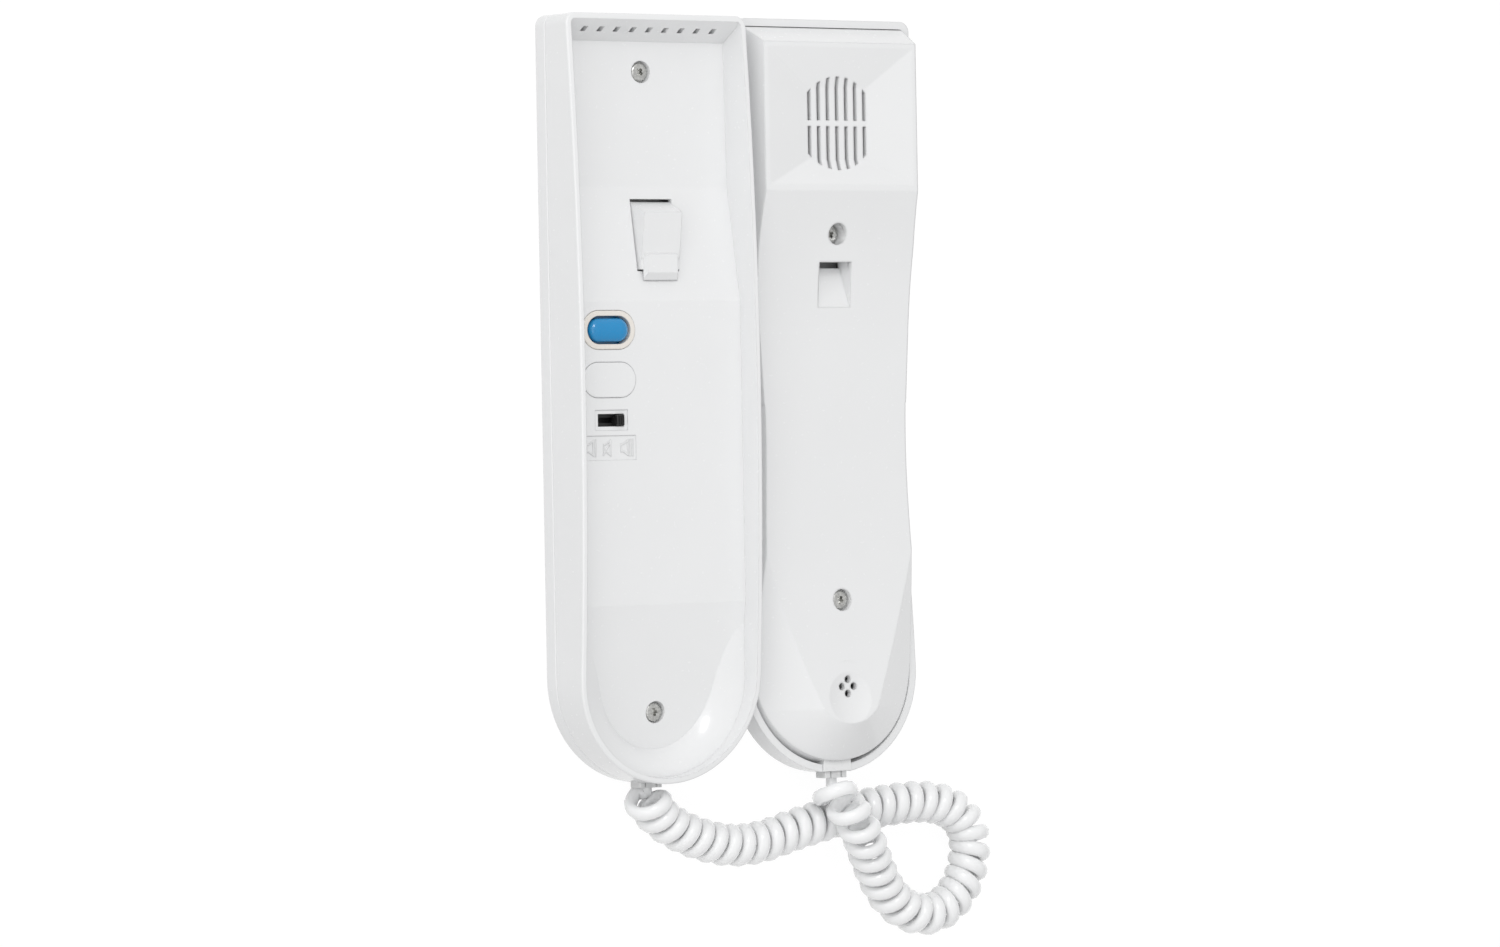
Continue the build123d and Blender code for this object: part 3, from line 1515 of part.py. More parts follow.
def main():
    """Write every piece as its own file."""
    os.makedirs("parts", exist_ok=True)
    pieces = {
        "wall_plate": make_wall_plate,
        "front_cover": make_front_cover,
        "cover_screws": make_cover_screws,
        "hook_lever": make_hook_lever,
        "hook_lever_pin": lambda: lever_pin_rod(0),
        "hook_spring": make_hook_spring,
        "circuit_board": make_circuit_board,
        "board_screws": make_board_screws,
        "hook_switch": make_hook_switch,
        "door_switch": make_door_switch,
        "chips": make_chips,
        "capacitors": make_capacitors,
        "call_sounder": make_call_sounder,
        "terminal_block": make_terminal_block,
        "terminal_screws": make_terminal_screws,
        "door_button": make_door_button,
        "button_bezel": make_button_bezel,
        "blank_plug": make_blank_plug,
        "volume_switch": make_volume_switch,
        "volume_knob": make_volume_knob,
        "base_jack": lambda: make_jack(0, base_jack_height),
        "base_leads": make_base_leads,
        "base_plug": lambda: make_plug(0, base_jack_height),
        "coil_cord": make_coil_cord,
        "handset_plug": lambda: make_plug(handset_x, handset_jack_height),
        "handset_jack": lambda: make_jack(handset_x, handset_jack_height),
        "handset_cover": make_handset_cover,
        "handset_shell": make_handset_shell,
        "handset_screws": make_handset_screws,
        "earpiece": make_earpiece,
        "earpiece_felt": make_earpiece_felt,
        "earpiece_foam": make_earpiece_foam,
        "microphone": make_microphone,
        "microphone_boot": make_microphone_boot,
        "handset_leads": make_handset_leads,
    }
    for name, make in pieces.items():
        export_step(make(), f"parts/{name}.step")


main()
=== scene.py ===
import json
import math

import bpy
from mathutils import Matrix, Vector


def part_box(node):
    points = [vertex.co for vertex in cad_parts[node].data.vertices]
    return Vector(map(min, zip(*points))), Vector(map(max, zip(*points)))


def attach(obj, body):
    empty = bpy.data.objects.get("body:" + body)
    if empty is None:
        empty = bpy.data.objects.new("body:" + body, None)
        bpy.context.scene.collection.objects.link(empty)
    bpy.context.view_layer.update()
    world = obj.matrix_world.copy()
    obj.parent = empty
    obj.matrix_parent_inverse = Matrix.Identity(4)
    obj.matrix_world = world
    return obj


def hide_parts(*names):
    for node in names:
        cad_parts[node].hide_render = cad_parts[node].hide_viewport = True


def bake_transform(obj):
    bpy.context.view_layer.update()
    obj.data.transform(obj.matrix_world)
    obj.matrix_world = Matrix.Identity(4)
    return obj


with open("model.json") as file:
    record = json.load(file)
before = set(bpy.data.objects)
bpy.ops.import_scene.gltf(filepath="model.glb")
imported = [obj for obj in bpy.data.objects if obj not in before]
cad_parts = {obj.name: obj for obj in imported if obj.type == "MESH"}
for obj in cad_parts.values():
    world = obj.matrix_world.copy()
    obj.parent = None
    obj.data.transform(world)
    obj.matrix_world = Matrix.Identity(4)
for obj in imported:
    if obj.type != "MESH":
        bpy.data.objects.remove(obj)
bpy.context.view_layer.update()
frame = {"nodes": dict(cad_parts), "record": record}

# Audio intercom handset beside its wall unit, in metres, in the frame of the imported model:
# X to the right, Y up along the unit, Z away from the wall.

MM = 0.001


# Camera at the photograph's angle

photo_width = 1500
focal_pixels = 6222.2
sensor_width = 36
camera_distance = 1.7504
camera_turn = math.radians(34.07)
camera_tilt = math.radians(0.514)
camera_roll = math.radians(-1.033)
camera_offset_x = -0.03334
camera_offset_y = -0.02069
camera_far_limit = 20


def make_camera():
    """A camera at the photograph's angle, turned about the unit's long axis."""
    turn_cos, turn_sin = math.cos(camera_turn), math.sin(camera_turn)
    across = Vector((turn_cos, 0, turn_sin))
    depth = Vector((turn_sin, 0, -turn_cos))
    down = Vector((0, -1, 0))
    tilted_down = math.cos(camera_tilt) * down - math.sin(camera_tilt) * depth
    forward = math.sin(camera_tilt) * down + math.cos(camera_tilt) * depth
    right = math.cos(camera_roll) * across - math.sin(camera_roll) * tilted_down
    image_down = math.sin(camera_roll) * across + math.cos(camera_roll) * tilted_down
    place = -(camera_offset_x * right + camera_offset_y * image_down + camera_distance * forward)
    data = bpy.data.cameras.new("camera")
    data.sensor_fit = "HORIZONTAL"
    data.sensor_width = sensor_width
    data.lens = focal_pixels / photo_width * sensor_width
    data.clip_end = camera_far_limit
    camera = bpy.data.objects.new("camera", data)
    camera.matrix_world = Matrix((
        (right.x, -image_down.x, -forward.x, place.x),
        (right.y, -image_down.y, -forward.y, place.y),
        (right.z, -image_down.z, -forward.z, place.z),
        (0, 0, 0, 1)))
    bpy.context.scene.collection.objects.link(camera)
    bpy.context.scene.camera = camera


# Materials

# A noise scale counts features per metre. A span is the part of a texture's values that a ramp uses.
# A share multiplies a colour or a roughness.
cloud_scale = 60
wear_scale = 900
skin_scale = 420
spot_scale = 1500
haze_scale = 700
broad_span = (0.3, 0.7)
wear_span = (0.35, 0.75)
spot_span = (0.36, 0.62)
plastic_wear_shares = (0.85, 1.2)
steel_spot_shares = (1.6, 1.0)
clear_haze_shares = (0.7, 1.3)
steel_dull_share = 0.72
fibre_shadow_share = 0.5
skin_strength = 0.25
skin_depth = 0.006 * MM
edge_samples = 4
coat_roughness = 0.04
plastic_ior = 1.49
scatter_reach = 3.0 * MM
porous_roughness = 0.95
fibre_noise_roughness = 0.7


def new_material(name):
    """A material with one shader, and its nodes."""
    material = bpy.data.materials.new(name)
    material.use_nodes = True
    nodes = material.node_tree.nodes
    return material, nodes, material.node_tree.links, nodes["Principled BSDF"]


def noise(nodes, links, scale, detail, roughness=0.5):
    """The value of a noise texture on the piece's own coordinates."""
    texture = nodes.new("ShaderNodeTexNoise")
    texture.inputs["Scale"].default_value = scale
    texture.inputs["Detail"].default_value = detail
    texture.inputs["Roughness"].default_value = roughness
    links.new(nodes.new("ShaderNodeTexCoord").outputs["Object"], texture.inputs["Vector"])
    return texture.outputs["Fac"]


def ramp(nodes, links, factor, span, low_colour, high_colour):
    """A colour that changes from one to another over a span of a factor."""
    node = nodes.new("ShaderNodeValToRGB")
    for element, position, colour in zip(node.color_ramp.elements, span, (low_colour, high_colour)):
        element.position = position
        element.color = colour
    links.new(factor, node.inputs["Fac"])
    return node.outputs["Color"]


def grey(value):
    """A neutral colour."""
    return (value, value, value, 1)


def darker(colour, share):
    """A colour that keeps a share of its light."""
    return tuple(channel * share for channel in colour[:3]) + (1,)


def vary_colour(nodes, links, shader, texture, span, share, colour):
    """Gives the shader a colour that fades to a share of its light with a texture."""
    links.new(ramp(nodes, links, texture, span, darker(colour, share), colour), shader.inputs["Base Color"])


def vary_roughness(nodes, links, shader, texture, span, shares, roughness):
    """Gives the shader a roughness that changes between two shares of its value with a texture."""
    low_grey, high_grey = (grey(roughness * share) for share in shares)
    links.new(ramp(nodes, links, texture, span, low_grey, high_grey), shader.inputs["Roughness"])


def moulded_plastic(name, colour, roughness, coat=0.0, edge=0.3 * MM, tint=0.03, subsurface=0.0):
    """Moulded plastic: faint cloudiness, a fine uneven surface and softened edges."""
    material, nodes, links, shader = new_material(name)
    cloud = noise(nodes, links, cloud_scale, detail=2)
    vary_colour(nodes, links, shader, cloud, broad_span, 1 - tint, colour)
    wear = noise(nodes, links, wear_scale, detail=4)
    vary_roughness(nodes, links, shader, wear, wear_span, plastic_wear_shares, roughness)
    bump = nodes.new("ShaderNodeBump")
    bump.inputs["Strength"].default_value = skin_strength
    bump.inputs["Distance"].default_value = skin_depth
    links.new(noise(nodes, links, skin_scale, detail=2), bump.inputs["Height"])
    bevel = nodes.new("ShaderNodeBevel")
    bevel.samples = edge_samples
    bevel.inputs["Radius"].default_value = edge
    links.new(bevel.outputs["Normal"], bump.inputs["Normal"])
    links.new(bump.outputs["Normal"], shader.inputs["Normal"])
    shader.inputs["Coat Weight"].default_value = coat
    shader.inputs["Coat Roughness"].default_value = coat_roughness
    shader.inputs["IOR"].default_value = plastic_ior
    if subsurface:
        shader.inputs["Subsurface Weight"].default_value = subsurface
        shader.inputs["Subsurface Radius"].default_value = (scatter_reach, scatter_reach, scatter_reach)
        shader.inputs["Subsurface Scale"].default_value = 1.0
    return material


def case_plastic(name, edge):
    """The glossy white plastic of both cases, with edges of a given softness."""
    return moulded_plastic(name, (0.845, 0.85, 0.855, 1), roughness=0.24, coat=0.45, tint=0.012, edge=edge)


def plated_steel(name, colour, roughness):
    """Plated steel with a fine grain of duller spots."""
    material, nodes, links, shader = new_material(name)
    spots = noise(nodes, links, spot_scale, detail=5)
    vary_colour(nodes, links, shader, spots, spot_span, steel_dull_share, colour)
    vary_roughness(nodes, links, shader, spots, broad_span, steel_spot_shares, roughness)
    shader.inputs["Metallic"].default_value = 1.0
    return material


def porous(name, colour, scale, depth):
    """Felt, foam or soft rubber: a rough, fibrous surface."""
    material, nodes, links, shader = new_material(name)
    fibres = noise(nodes, links, scale, detail=6, roughness=fibre_noise_roughness)
    vary_colour(nodes, links, shader, fibres, broad_span, fibre_shadow_share, colour)
    bump = nodes.new("ShaderNodeBump")
    bump.inputs["Distance"].default_value = depth
    links.new(fibres, bump.inputs["Height"])
    links.new(bump.outputs["Normal"], shader.inputs["Normal"])
    shader.inputs["Roughness"].default_value = porous_roughness
    return material


def clear_plastic(name, colour, roughness, transmission):
    """Clear moulded plastic, slightly milky."""
    material, nodes, links, shader = new_material(name)
    haze = noise(nodes, links, haze_scale, detail=3)
    vary_roughness(nodes, links, shader, haze, broad_span, clear_haze_shares, roughness)
    shader.inputs["Base Color"].default_value = colour
    shader.inputs["Transmission Weight"].default_value = transmission
    shader.inputs["IOR"].default_value = plastic_ior
    return material


def make_materials():
    """One finish for each material slot of the record."""
    return {
        "case_white": case_plastic("white case plastic", edge=0.4 * MM),
        "bezel_cream": moulded_plastic("cream bezel plastic", (0.84, 0.80, 0.745, 1), roughness=0.3),
        "button_blue": moulded_plastic("blue button plastic", (0.0, 0.26, 0.58, 1), roughness=0.22,
                                       coat=0.6, edge=0.1 * MM),
        "switch_black": moulded_plastic("black switch plastic", grey(0.012), roughness=0.4, edge=0.1 * MM),
        "screw_steel": plated_steel("plated screw steel", (0.74, 0.74, 0.72, 1), roughness=0.2),
        "board_green": moulded_plastic("green solder mask", (0.02, 0.14, 0.05, 1), roughness=0.35),
        "capacitor_sleeve": moulded_plastic("capacitor sleeve", (0.02, 0.025, 0.08, 1), roughness=0.3),
        "terminal_green": moulded_plastic("terminal plastic", (0.03, 0.22, 0.08, 1), roughness=0.4),
        "socket_grey": moulded_plastic("socket plastic", (0.86, 0.865, 0.865, 1), roughness=0.3,
                                       edge=0.1 * MM),
        "plug_clear": clear_plastic("clear plug plastic", (0.93, 0.935, 0.935, 1), roughness=0.12,
                                    transmission=0.25),
        "cord_white": moulded_plastic("soft cord plastic", (0.91, 0.915, 0.92, 1), roughness=0.2,
                                      coat=0.6, tint=0.01, subsurface=0.3),
        "lead_grey": moulded_plastic("lead insulation", grey(0.20), roughness=0.5),
        "earpiece_metal": plated_steel("pressed capsule metal", grey(0.66), roughness=0.35),
        # The felt and foam behind the earpiece grille are dark of their own, and made darker still as
        # painted shade, so that the grille's slots show as shaded openings.
        "felt_grey": porous("dark felt with painted slot shade", grey(0.02), scale=3000, depth=0.3 * MM),
        "foam_grey": porous("dark foam with painted slot shade", grey(0.03), scale=1800, depth=0.5 * MM),
        "rubber_grey": porous("boot rubber", grey(0.03), scale=900, depth=0.05 * MM),
    }


def dress_piece(piece, material):
    """A piece takes one material alone."""
    piece.data.materials.clear()
    piece.data.materials.append(material)


def dress_nodes(materials):
    """Each CAD node takes its slot's finish. The shell has rounder edges and the wall plate crisp ones."""
    for subpart in frame["record"]["subparts"]:
        dress_piece(frame["nodes"][subpart["node"]], materials[subpart["material_slot"]])
    dress_piece(frame["nodes"]["handset_shell"], case_plastic("white shell plastic", edge=0.9 * MM))
    dress_piece(frame["nodes"]["wall_plate"], case_plastic("white plate plastic", edge=0.05 * MM))


# Modelling steps

# Edges and faces are picked by their place, within the tolerance, or by their direction's Z part.
place_tolerance = 0.01 * MM
level_limit = 0.5
upright_limit = 0.9
straight_limit = 0.99


def deselect():
    """Nothing stays selected."""
    bpy.ops.object.select_all(action="DESELECT")


def leave_editing():
    """Back from edit mode, where a piece is open."""
    if bpy.context.mode != "OBJECT":
        bpy.ops.object.mode_set(mode="OBJECT")


def hold(piece):
    """Makes a piece the only one that operators act on."""
    deselect()
    bpy.context.view_layer.objects.active = piece
    piece.select_set(True)


def pick(piece, kind, test):
    """Opens a piece and selects the faces or edges that pass a test of their middle and direction."""
    leave_editing()
    hold(piece)
    bpy.ops.object.mode_set(mode="EDIT")
    bpy.ops.mesh.select_mode(type=kind)
    bpy.ops.mesh.select_all(action="DESELECT")
    bpy.ops.object.mode_set(mode="OBJECT")
    mesh = piece.data
    if kind == "FACE":
        for face in mesh.polygons:
            face.select = test(face.center, face.normal)
    else:
        for edge in mesh.edges:
            near, far = (mesh.vertices[index].co for index in edge.vertices)
            edge.select = test((near + far) / 2, (far - near).normalized())
    bpy.ops.object.mode_set(mode="EDIT")


def straight_up(middle, normal):
    """Whether a face looks straight up."""
    return normal.z > straight_limit


def straight_down(middle, normal):
    """Whether a face looks straight down."""
    return normal.z < -straight_limit


def upright(middle, direction):
    """Whether an edge stands upright."""
    return abs(direction.z) > upright_limit


def extrude(rise):
    """Extrudes the selected faces along Z."""
    bpy.ops.mesh.extrude_region_move(TRANSFORM_OT_translate={"value": (0, 0, rise)})


def name_piece(piece, name):
    """Names a piece and its mesh."""
    piece.name = name
    piece.data.name = name


def start_block(name, low, high):
    """A cube between two corners, to be worked on."""
    deselect()
    middle = [(a + b) / 2 for a, b in zip(low, high)]
    bpy.ops.mesh.primitive_cube_add(size=1, location=middle)
    piece = bpy.context.object
    piece.scale = [b - a for a, b in zip(low, high)]
    bpy.ops.object.transform_apply(location=True, rotation=True, scale=True)
    name_piece(piece, name)
    return piece


def start_round(name, radius, low, high, side_count):
    """A cylinder along Z at the origin, to be worked on."""
    deselect()
    bpy.ops.mesh.primitive_cylinder_add(vertices=side_count, radius=radius, depth=high - low,
                                        location=(0, 0, (low + high) / 2))
    piece = bpy.context.object
    bpy.ops.object.transform_apply(location=True, rotation=True, scale=True)
    name_piece(piece, name)
    return piece


def cut_with(piece, cutter):
    """Takes a cutter out of a piece."""
    hold(piece)
    cut = piece.modifiers.new("cut", "BOOLEAN")
    cut.operation = "DIFFERENCE"
    cut.solver = "EXACT"
    cut.object = cutter
    bpy.ops.object.modifier_apply(modifier=cut.name)
    bpy.data.objects.remove(cutter)


def close_piece(piece, smooth_angle):
    """Leaves editing and smooths the piece's edges that turn less than an angle in degrees."""
    leave_editing()
    hold(piece)
    bpy.ops.object.shade_smooth_by_angle(angle=math.radians(smooth_angle))


def finish_piece(piece, name, node, body, material):
    """Names a finished piece, dresses it, and lets it stand for a CAD node on that node's body."""
    name_piece(piece, name)
    dress_piece(piece, material)
    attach(piece, body)
    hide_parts(node)


# Screws

# A screw's place is the middle of its head's top, and its turn is in degrees about its axis.
screw_head_radius = 2.7 * MM
screw_head_height = 1.5 * MM
screw_dome = 0.85 * MM
screw_dome_segments = 6
screw_dome_profile = 0.55
screw_underside_round = 0.12 * MM
screw_shank_radius = 1.35 * MM
screw_shank_length = 4.3 * MM
screw_point = 0.8 * MM
screw_tip_share = 0.35
screw_sides = 40
screw_smooth_angle = 32
recess_half_length = 1.6 * MM
recess_half_width = 0.5 * MM
recess_depth = 1.15 * MM
recess_foot_length_share = 0.4
recess_foot_width_share = 0.75
cover_screw_places = [Vector((0, 0.0918, 0.00715)), Vector((0, -0.0876, 0.00871))]
cover_screw_turns = [52, 12]
handset_screw_places = [Vector((0.0613, 0.0463, 0.01129)), Vector((0.0613, -0.0580, 0.01298))]
handset_screw_turns = [30, 68]


def recess_bar(along_x):
    """One bar of the cross recess, tapered towards its foot, along X or along Y."""
    half_sizes = [recess_half_length, recess_half_width]
    foot_shares = [recess_foot_length_share, recess_foot_width_share]
    if not along_x:
        half_sizes.reverse()
        foot_shares.reverse()
    half_x, half_y = half_sizes
    bar = start_block("recess bar", (-half_x, -half_y, -recess_depth), (half_x, half_y, recess_depth))
    pick(bar, "FACE", straight_down)
    bpy.ops.transform.resize(value=(*foot_shares, 1))
    leave_editing()
    return bar


def on_head_top(middle, direction):
    """Whether an edge lies on the rim of the screw head's top."""
    return middle.z > -place_tolerance and abs(direction.z) < level_limit


def on_head_foot(middle, direction):
    """Whether an edge lies on the rim of the screw head's foot."""
    return middle.z < place_tolerance - screw_head_height and abs(direction.z) < level_limit


def model_screw():
    """A pan-head screw with a cross recess, the top of its head at the origin."""
    screw = start_round("pan screw", screw_head_radius, -screw_head_height, 0, screw_sides)
    pick(screw, "EDGE", on_head_top)
    bpy.ops.mesh.bevel(offset=screw_dome, segments=screw_dome_segments, profile=screw_dome_profile,
                       affect="EDGES")
    pick(screw, "EDGE", on_head_foot)
    bpy.ops.mesh.bevel(offset=screw_underside_round, segments=2, affect="EDGES")
    pick(screw, "FACE", lambda middle, normal: normal.z < -upright_limit)
    bpy.ops.mesh.inset(thickness=screw_head_radius - screw_underside_round - screw_shank_radius)
    extrude(-screw_shank_length)
    extrude(-screw_point)
    bpy.ops.transform.resize(value=(screw_tip_share, screw_tip_share, 1))
    leave_editing()
    for along_x in (True, False):
        cut_with(screw, recess_bar(along_x))
    close_piece(screw, screw_smooth_angle)
    return screw


def place_screws(model, name, node, body, places, turns, material):
    """Copies of the screw, each turned its own way, joined as one piece."""
    copies = []
    for place, turn in zip(places, turns):
        copy = bpy.data.objects.new(name, model.data.copy())
        copy.data.transform(Matrix.Translation(place) @ Matrix.Rotation(math.radians(turn), 4, "Z"))
        bpy.context.scene.collection.objects.link(copy)
        copies.append(copy)
    deselect()
    for copy in copies:
        copy.select_set(True)
    bpy.context.view_layer.objects.active = copies[0]
    bpy.ops.object.join()
    finish_piece(bpy.context.object, name, node, body, material)


def make_screws(material):
    """The two screws of the front cover and the two of the handset."""
    model = model_screw()
    place_screws(model, "cover_screws_pan_head", "cover_screws", "wall_unit",
                 cover_screw_places, cover_screw_turns, material)
    place_screws(model, "handset_screws_pan_head", "handset_screws", "handset",
                 handset_screw_places, handset_screw_turns, material)
    bpy.data.objects.remove(model)


# Door button and volume knob

button_dome_height = 1.7 * MM
button_dome_reach = 3.2 * MM
button_dome_steps = 8
button_end_segments = 16
button_flange_height = 0.9 * MM
button_flange_edge = 1.0 * MM
button_weld = 0.05 * MM
button_smooth_angle = 50
knob_top_round = 0.35 * MM
knob_corner_round = 0.2 * MM
knob_stem_length = 2.0 * MM
knob_stem_inset = 0.6 * MM
knob_groove_count = 3
knob_groove_half_width = 0.16 * MM
knob_groove_depth = 0.22 * MM
knob_smooth_angle = 30
cutter_overrun = 1.0 * MM


def dome(reach, height, steps):
    """Raises the selected face to a soft dome in rings that follow an ellipse."""
    inset_before, rise_before = 0, 0
    for step in range(1, steps + 1):
        angle = math.pi / 2 * step / steps
        inset_now = reach * (1 - math.cos(angle))
        rise_now = height * math.sin(angle)
        bpy.ops.mesh.inset(thickness=inset_now - inset_before, depth=rise_now - rise_before)
        inset_before, rise_before = inset_now, rise_now


def make_door_button(material):
    """The blue button: a long round-ended cap with a soft dome, on a flange."""
    low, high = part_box("door_button")
    length_x, length_y = high.x - low.x, high.y - low.y
    edge = button_flange_edge
    button = start_block("door button cap", (low.x + edge, low.y + edge, low.z + button_flange_height),
                         (high.x - edge, high.y - edge, high.z - button_dome_height))
    pick(button, "EDGE", upright)
    bpy.ops.mesh.bevel(offset=length_y / 2 - edge, segments=button_end_segments, affect="EDGES",
                       clamp_overlap=True)
    bpy.ops.mesh.select_all(action="SELECT")
    bpy.ops.mesh.remove_doubles(threshold=button_weld)
    pick(button, "FACE", straight_up)
    dome(button_dome_reach, button_dome_height, button_dome_steps)
    pick(button, "FACE", straight_down)
    extrude(0)
    bpy.ops.transform.resize(value=(length_x / (length_x - 2 * edge), length_y / (length_y - 2 * edge), 1))
    extrude(-button_flange_height)
    close_piece(button, button_smooth_angle)
    finish_piece(button, "door_button_cap", "door_button", "door_button", material)


def make_volume_knob(material):
    """The slide switch's black knob, with three grooves across its top and a stem into the switch."""
    low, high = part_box("volume_knob")
    knob = start_block("knob", (low.x, low.y, low.z + knob_stem_length), high)
    pick(knob, "EDGE", lambda middle, direction: middle.z > high.z - place_tolerance)
    bpy.ops.mesh.bevel(offset=knob_top_round, segments=3, affect="EDGES")
    pick(knob, "EDGE", upright)
    bpy.ops.mesh.bevel(offset=knob_corner_round, segments=2, affect="EDGES")
    pick(knob, "FACE", straight_down)
    bpy.ops.mesh.inset(thickness=knob_stem_inset)
    extrude(-knob_stem_length)
    leave_editing()
    pitch = (high.x - low.x) / (knob_groove_count + 1)
    for index in range(knob_groove_count):
        x = low.x + pitch * (index + 1)
        groove_low = (x - knob_groove_half_width, low.y - cutter_overrun, high.z - knob_groove_depth)
        groove_high = (x + knob_groove_half_width, high.y + cutter_overrun, high.z + cutter_overrun)
        cut_with(knob, start_block("groove", groove_low, groove_high))
    close_piece(knob, knob_smooth_angle)
    finish_piece(knob, "volume_knob_ribbed", "volume_knob", "volume_knob", material)


# Hook spring

spring_weld = 0.001 * MM
spring_smooth_angle = 60


def make_hook_spring(material):
    """The lever's return spring: the wound wire between the wall plate and the lever."""
    source = frame["nodes"]["hook_spring"]
    spring = bpy.data.objects.new("hook_spring_coil", source.data.copy())
    spring.data.transform(source.matrix_world)
    bpy.context.scene.collection.objects.link(spring)
    pick(spring, "FACE", lambda middle, normal: True)
    bpy.ops.mesh.remove_doubles(threshold=spring_weld)
    close_piece(spring, spring_smooth_angle)
    dress_piece(spring, material)
    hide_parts("hook_spring")
    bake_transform(spring)


# Curly cord

# One strand is wound about the route, which runs from the wall unit's plug to the handset's.
# Its turns lie further apart towards the handset, and its first loop is wider.
strand_axial = 4.3 * MM
strand_radial = 3.5 * MM
strand_sides = 10
coil_mean_radius = 4.4 * MM
coil_turns = 40.75
coil_start_share = 0.76
rings_per_turn = 20
loose_from_share = 0.70
loose_share = 0.30
first_loop_swell_share = 0.18
first_loop_turns = 1.5
direction_step_share = 0.004
lead_strand_share = 0.9
lead_pull_share = 1.3
base_lead_steps = 8
hand_lead_steps = 10
base_straight = 1.0 * MM
hand_straight = 2.5 * MM
plug_overlap = 1.5 * MM
route_resolution = 24
route_order = 3
cord_route = [
    (-0.0024, -0.1116, 0.0076),
    (-0.0006, -0.1142, 0.0070),
    (0.0028, -0.1176, 0.0064),
    (0.0088, -0.1214, 0.0062),
    (0.0179, -0.1249, 0.0062),
    (0.0278, -0.1269, 0.0062),
    (0.0379, -0.1261, 0.0062),
    (0.0464, -0.1237, 0.0062),
    (0.0545, -0.1219, 0.0062),
    (0.0629, -0.1202, 0.0062),
    (0.0742, -0.1185, 0.0062),
    (0.0836, -0.1176, 0.0062),
    (0.0924, -0.1172, 0.0062),
    (0.1009, -0.1184, 0.0062),
    (0.1076, -0.1224, 0.0062),
    (0.1104, -0.1283, 0.0062),
    (0.1100, -0.1348, 0.0062),
    (0.1078, -0.1413, 0.0062),
    (0.1030, -0.1472, 0.0062),
    (0.0958, -0.1505, 0.0062),
    (0.0874, -0.1490, 0.0063),
    (0.0805, -0.1438, 0.0066),
    (0.0748, -0.1368, 0.0092),
    (0.0698, -0.1302, 0.0126),
    (0.0652, -0.1246, 0.0162),
    (0.0606, -0.1194, 0.0182),
    (0.0572, -0.1152, 0.0180),
    (0.0556, -0.1116, 0.0159),
]


def route_points():
    """Points along the coil's centre line, read from its smooth spline."""
    curve = bpy.data.curves.new("cord route", "CURVE")
    curve.dimensions = "3D"
    curve.resolution_u = route_resolution
    spline = curve.splines.new("NURBS")
    spline.points.add(len(cord_route) - 1)
    for point, place in zip(spline.points, cord_route):
        point.co = (*place, 1)
    spline.order_u = route_order
    spline.use_endpoint_u = True
    holder = bpy.data.objects.new("cord route", curve)
    mesh = bpy.data.meshes.new_from_object(holder)
    points = [vertex.co.copy() for vertex in mesh.vertices]
    bpy.data.objects.remove(holder)
    bpy.data.meshes.remove(mesh)
    return points


class Line:
    """A polyline that gives its place and direction at any share of its length."""

    def __init__(self, points):
        self.points = points
        self.reach = [0.0]
        for before, after in zip(points, points[1:]):
            self.reach.append(self.reach[-1] + (after - before).length)
        self.index = 0

    def place(self, share):
        target = min(max(share, 0), 1) * self.reach[-1]
        while self.index > 0 and self.reach[self.index] > target:
            self.index -= 1
        while self.index < len(self.points) - 2 and self.reach[self.index + 1] < target:
            self.index += 1
        before, after = self.reach[self.index:self.index + 2]
        start, end = self.points[self.index:self.index + 2]
        return start.lerp(end, (target - before) / (after - before))

    def direction(self, share):
        ahead = self.place(share + direction_step_share)
        return (ahead - self.place(share - direction_step_share)).normalized()


def turns_at(share):
    """Turns wound up to a share of the coil's length, which lie further apart in its loose end."""
    loose_end = 1 - loose_from_share
    lost = loose_share * max(share - loose_from_share, 0) ** 2 / (2 * loose_end)
    lost_in_all = loose_share * loose_end / 2
    return coil_turns * (share - lost) / (1 - lost_in_all)


def coil_ring(line, share):
    """The centre of the strand at a share of the coil's length, and its direction out of the coil."""
    centre = line.place(share)
    along = line.direction(share)
    turns = turns_at(share)
    radius = coil_mean_radius * (1 + first_loop_swell_share * max(1 - turns / first_loop_turns, 0))
    side = Vector((0, 0, 1)).cross(along).normalized()
    up = along.cross(side)
    angle = 2 * math.pi * (coil_start_share - turns)
    outward = side * math.cos(angle) + up * math.sin(angle)
    return centre + outward * radius, outward


def lead_rings(start, start_direction, end, end_direction, steps):
    """Points of a smooth run between a plug's straight end and the coil."""
    pull = lead_pull_share * (end - start).length
    points = []
    for step in range(steps + 1):
        way = step / steps
        arrived = way ** 2 * (3 - 2 * way)
        leaving = pull * way * (1 - way) ** 2
        arriving = pull * way ** 2 * (1 - way)
        bend = leaving * start_direction - arriving * end_direction
        points.append((1 - arrived) * start + arrived * end + bend)
    return points


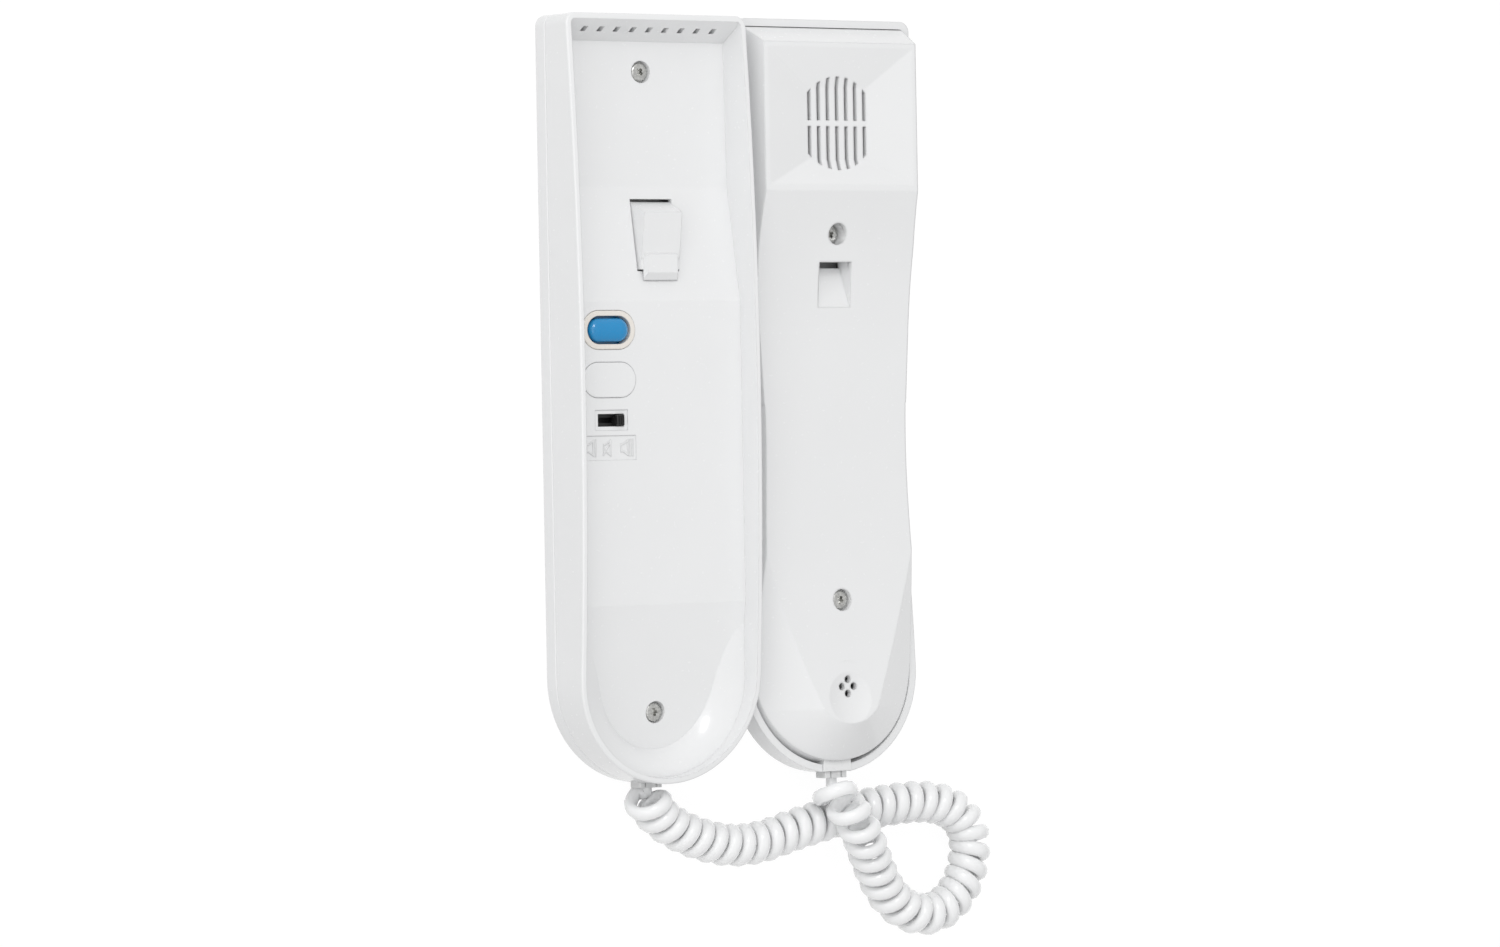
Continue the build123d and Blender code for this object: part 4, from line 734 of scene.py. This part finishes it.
def strand_mesh(path, rings, lead):
    """The skin of the strand: oval in the coil, and round and a little thinner in its two leads."""
    lead_diameter = lead_strand_share * strand_radial
    vertices, faces = [], []
    for index, centre in enumerate(path):
        before = path[max(index - 1, 0)]
        after = path[min(index + 1, len(path) - 1)]
        tangent = (after - before).normalized()
        nearest = min(max(index - lead, 0), len(rings) - 1)
        outward = rings[nearest][1]
        outward = (outward - tangent * tangent.dot(outward)).normalized()
        sideways = tangent.cross(outward)
        fade = min(abs(index - lead - nearest) / lead, 1)
        half_wide = (strand_axial * (1 - fade) + lead_diameter * fade) / 2
        half_thick = (strand_radial * (1 - fade) + lead_diameter * fade) / 2
        for side in range(strand_sides):
            turn = 2 * math.pi * side / strand_sides
            out = half_thick * math.cos(turn)
            aside = half_wide * math.sin(turn)
            vertices.append(tuple(centre + outward * out + sideways * aside))
    for start in range(0, (len(path) - 1) * strand_sides, strand_sides):
        for side in range(strand_sides):
            near = start + side
            beside = start + (side + 1) % strand_sides
            faces.append((near, beside, beside + strand_sides, near + strand_sides))
    last = (len(path) - 1) * strand_sides
    faces.append(tuple(reversed(range(strand_sides))))
    faces.append(tuple(range(last, last + strand_sides)))
    mesh = bpy.data.meshes.new("curly_cord")
    mesh.from_pydata(vertices, [], faces)
    mesh.validate()
    mesh.polygons.foreach_set("use_smooth", [True] * len(mesh.polygons))
    return mesh


def plug_exit(node):
    """The middle of a plug's lower end, where the cord comes out."""
    low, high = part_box(node)
    return Vector(((low.x + high.x) / 2, low.y, (low.z + high.z) / 2))


def make_cord(material):
    """The curly cord, from a little way inside one plug to a little way inside the other."""
    line = Line(route_points())
    count = round(coil_turns * rings_per_turn)
    rings = [coil_ring(line, step / count) for step in range(count + 1)]
    centres = [centre for centre, outward in rings]
    down = Vector((0, -1, 0))
    base_exit = plug_exit("base_plug")
    hand_exit = plug_exit("handset_plug")
    base_lead = lead_rings(base_exit + down * base_straight, down,
                           centres[0], (centres[1] - centres[0]).normalized(), base_lead_steps)
    hand_lead = lead_rings(centres[-1], (centres[-1] - centres[-2]).normalized(),
                           hand_exit + down * hand_straight, -down, hand_lead_steps)
    before_coil = [base_exit - down * plug_overlap, base_exit] + base_lead[:-1]
    after_coil = hand_lead[1:] + [hand_exit, hand_exit - down * plug_overlap]
    path = before_coil + centres + after_coil
    cord = bpy.data.objects.new("curly_cord", strand_mesh(path, rings, len(before_coil)))
    bpy.context.scene.collection.objects.link(cord)
    dress_piece(cord, material)
    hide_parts("coil_cord")
    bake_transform(cord)


# Stage and light

floor_size = 8
floor_drop = 0.2 * MM
floor_grey = 0.6
floor_roughness = 0.9
floor_glow_strength = 1.07
floor_glow_share = 0.9
world_level = 0.79
world_slope = (-0.21, 0.11, 0)
seen_world_level = 1.0
lamp_target = (0.03, 0, 0)
key_place = (-0.45, 0.65, 1.0)
key_size = (0.40, 0.40)
key_energy = 3.0
fill_place = (-1.0, -0.1, 0.95)
fill_size = (0.8, 1.0)
fill_energy = 1.6


def math_node(nodes, links, operation, socket, other):
    """The result of an operation on a socket and another socket or a number."""
    node = nodes.new("ShaderNodeMath")
    node.operation = operation
    links.new(socket, node.inputs[0])
    if isinstance(other, float):
        node.inputs[1].default_value = other
    else:
        links.new(other, node.inputs[1])
    return node.outputs[0]


def make_floor():
    """A pale floor that shows white and keeps the object's soft shadow."""
    bpy.ops.mesh.primitive_plane_add(size=floor_size, location=(0, 0, -floor_drop))
    floor = bpy.context.object
    floor.name = "floor"
    material, nodes, links, shader = new_material("white floor")
    shader.inputs["Base Color"].default_value = grey(floor_grey)
    shader.inputs["Roughness"].default_value = floor_roughness
    glow = nodes.new("ShaderNodeEmission")
    glow.inputs["Color"].default_value = grey(1)
    glow.inputs["Strength"].default_value = floor_glow_strength
    rays = nodes.new("ShaderNodeLightPath").outputs
    seen = math_node(nodes, links, "MAXIMUM", rays["Is Camera Ray"], rays["Is Glossy Ray"])
    seen = math_node(nodes, links, "MAXIMUM", seen, rays["Is Transmission Ray"])
    share = math_node(nodes, links, "MULTIPLY", seen, floor_glow_share)
    mix = nodes.new("ShaderNodeMixShader")
    links.new(share, mix.inputs["Fac"])
    links.new(shader.outputs[0], mix.inputs[1])
    links.new(glow.outputs[0], mix.inputs[2])
    links.new(mix.outputs[0], nodes["Material Output"].inputs["Surface"])
    dress_piece(floor, material)


def make_world():
    """A white surround, a little brighter above the unit and to its left."""
    world = bpy.data.worlds.new("studio")
    world.use_nodes = True
    nodes, links = world.node_tree.nodes, world.node_tree.links
    background = nodes["Background"]
    background.inputs["Color"].default_value = grey(1)
    slope = nodes.new("ShaderNodeVectorMath")
    slope.operation = "DOT_PRODUCT"
    slope.inputs[1].default_value = world_slope
    links.new(nodes.new("ShaderNodeTexCoord").outputs["Generated"], slope.inputs[0])
    level = math_node(nodes, links, "ADD", slope.outputs["Value"], world_level)
    strength = nodes.new("ShaderNodeMix")
    strength.data_type = "FLOAT"
    strength.inputs["B"].default_value = seen_world_level
    links.new(level, strength.inputs["A"])
    links.new(nodes.new("ShaderNodeLightPath").outputs["Is Camera Ray"], strength.inputs["Factor"])
    links.new(strength.outputs["Result"], background.inputs["Strength"])
    bpy.context.scene.world = world


def area_light(name, shape, place, size, energy):
    """A soft lamp with a rectangular or round face, aimed at the middle of the part."""
    data = bpy.data.lights.new(name, "AREA")
    data.shape = shape
    data.size, data.size_y = size
    data.energy = energy
    lamp = bpy.data.objects.new(name, data)
    lamp.location = place
    lamp.rotation_euler = (Vector(lamp_target) - Vector(place)).to_track_quat("-Z", "Y").to_euler()
    bpy.context.scene.collection.objects.link(lamp)


def make_lights():
    """A round key lamp above on the left, and a wide fill lamp further round."""
    area_light("key light", "ELLIPSE", key_place, key_size, key_energy)
    area_light("fill light", "RECTANGLE", fill_place, fill_size, fill_energy)


# The scene

materials = make_materials()
dress_nodes(materials)
make_camera()
make_screws(materials["screw_steel"])
make_door_button(materials["button_blue"])
make_volume_knob(materials["switch_black"])
make_hook_spring(materials["screw_steel"])
make_cord(materials["cord_white"])
make_floor()
make_world()
make_lights()
bpy.context.scene.view_settings.view_transform = "Standard"
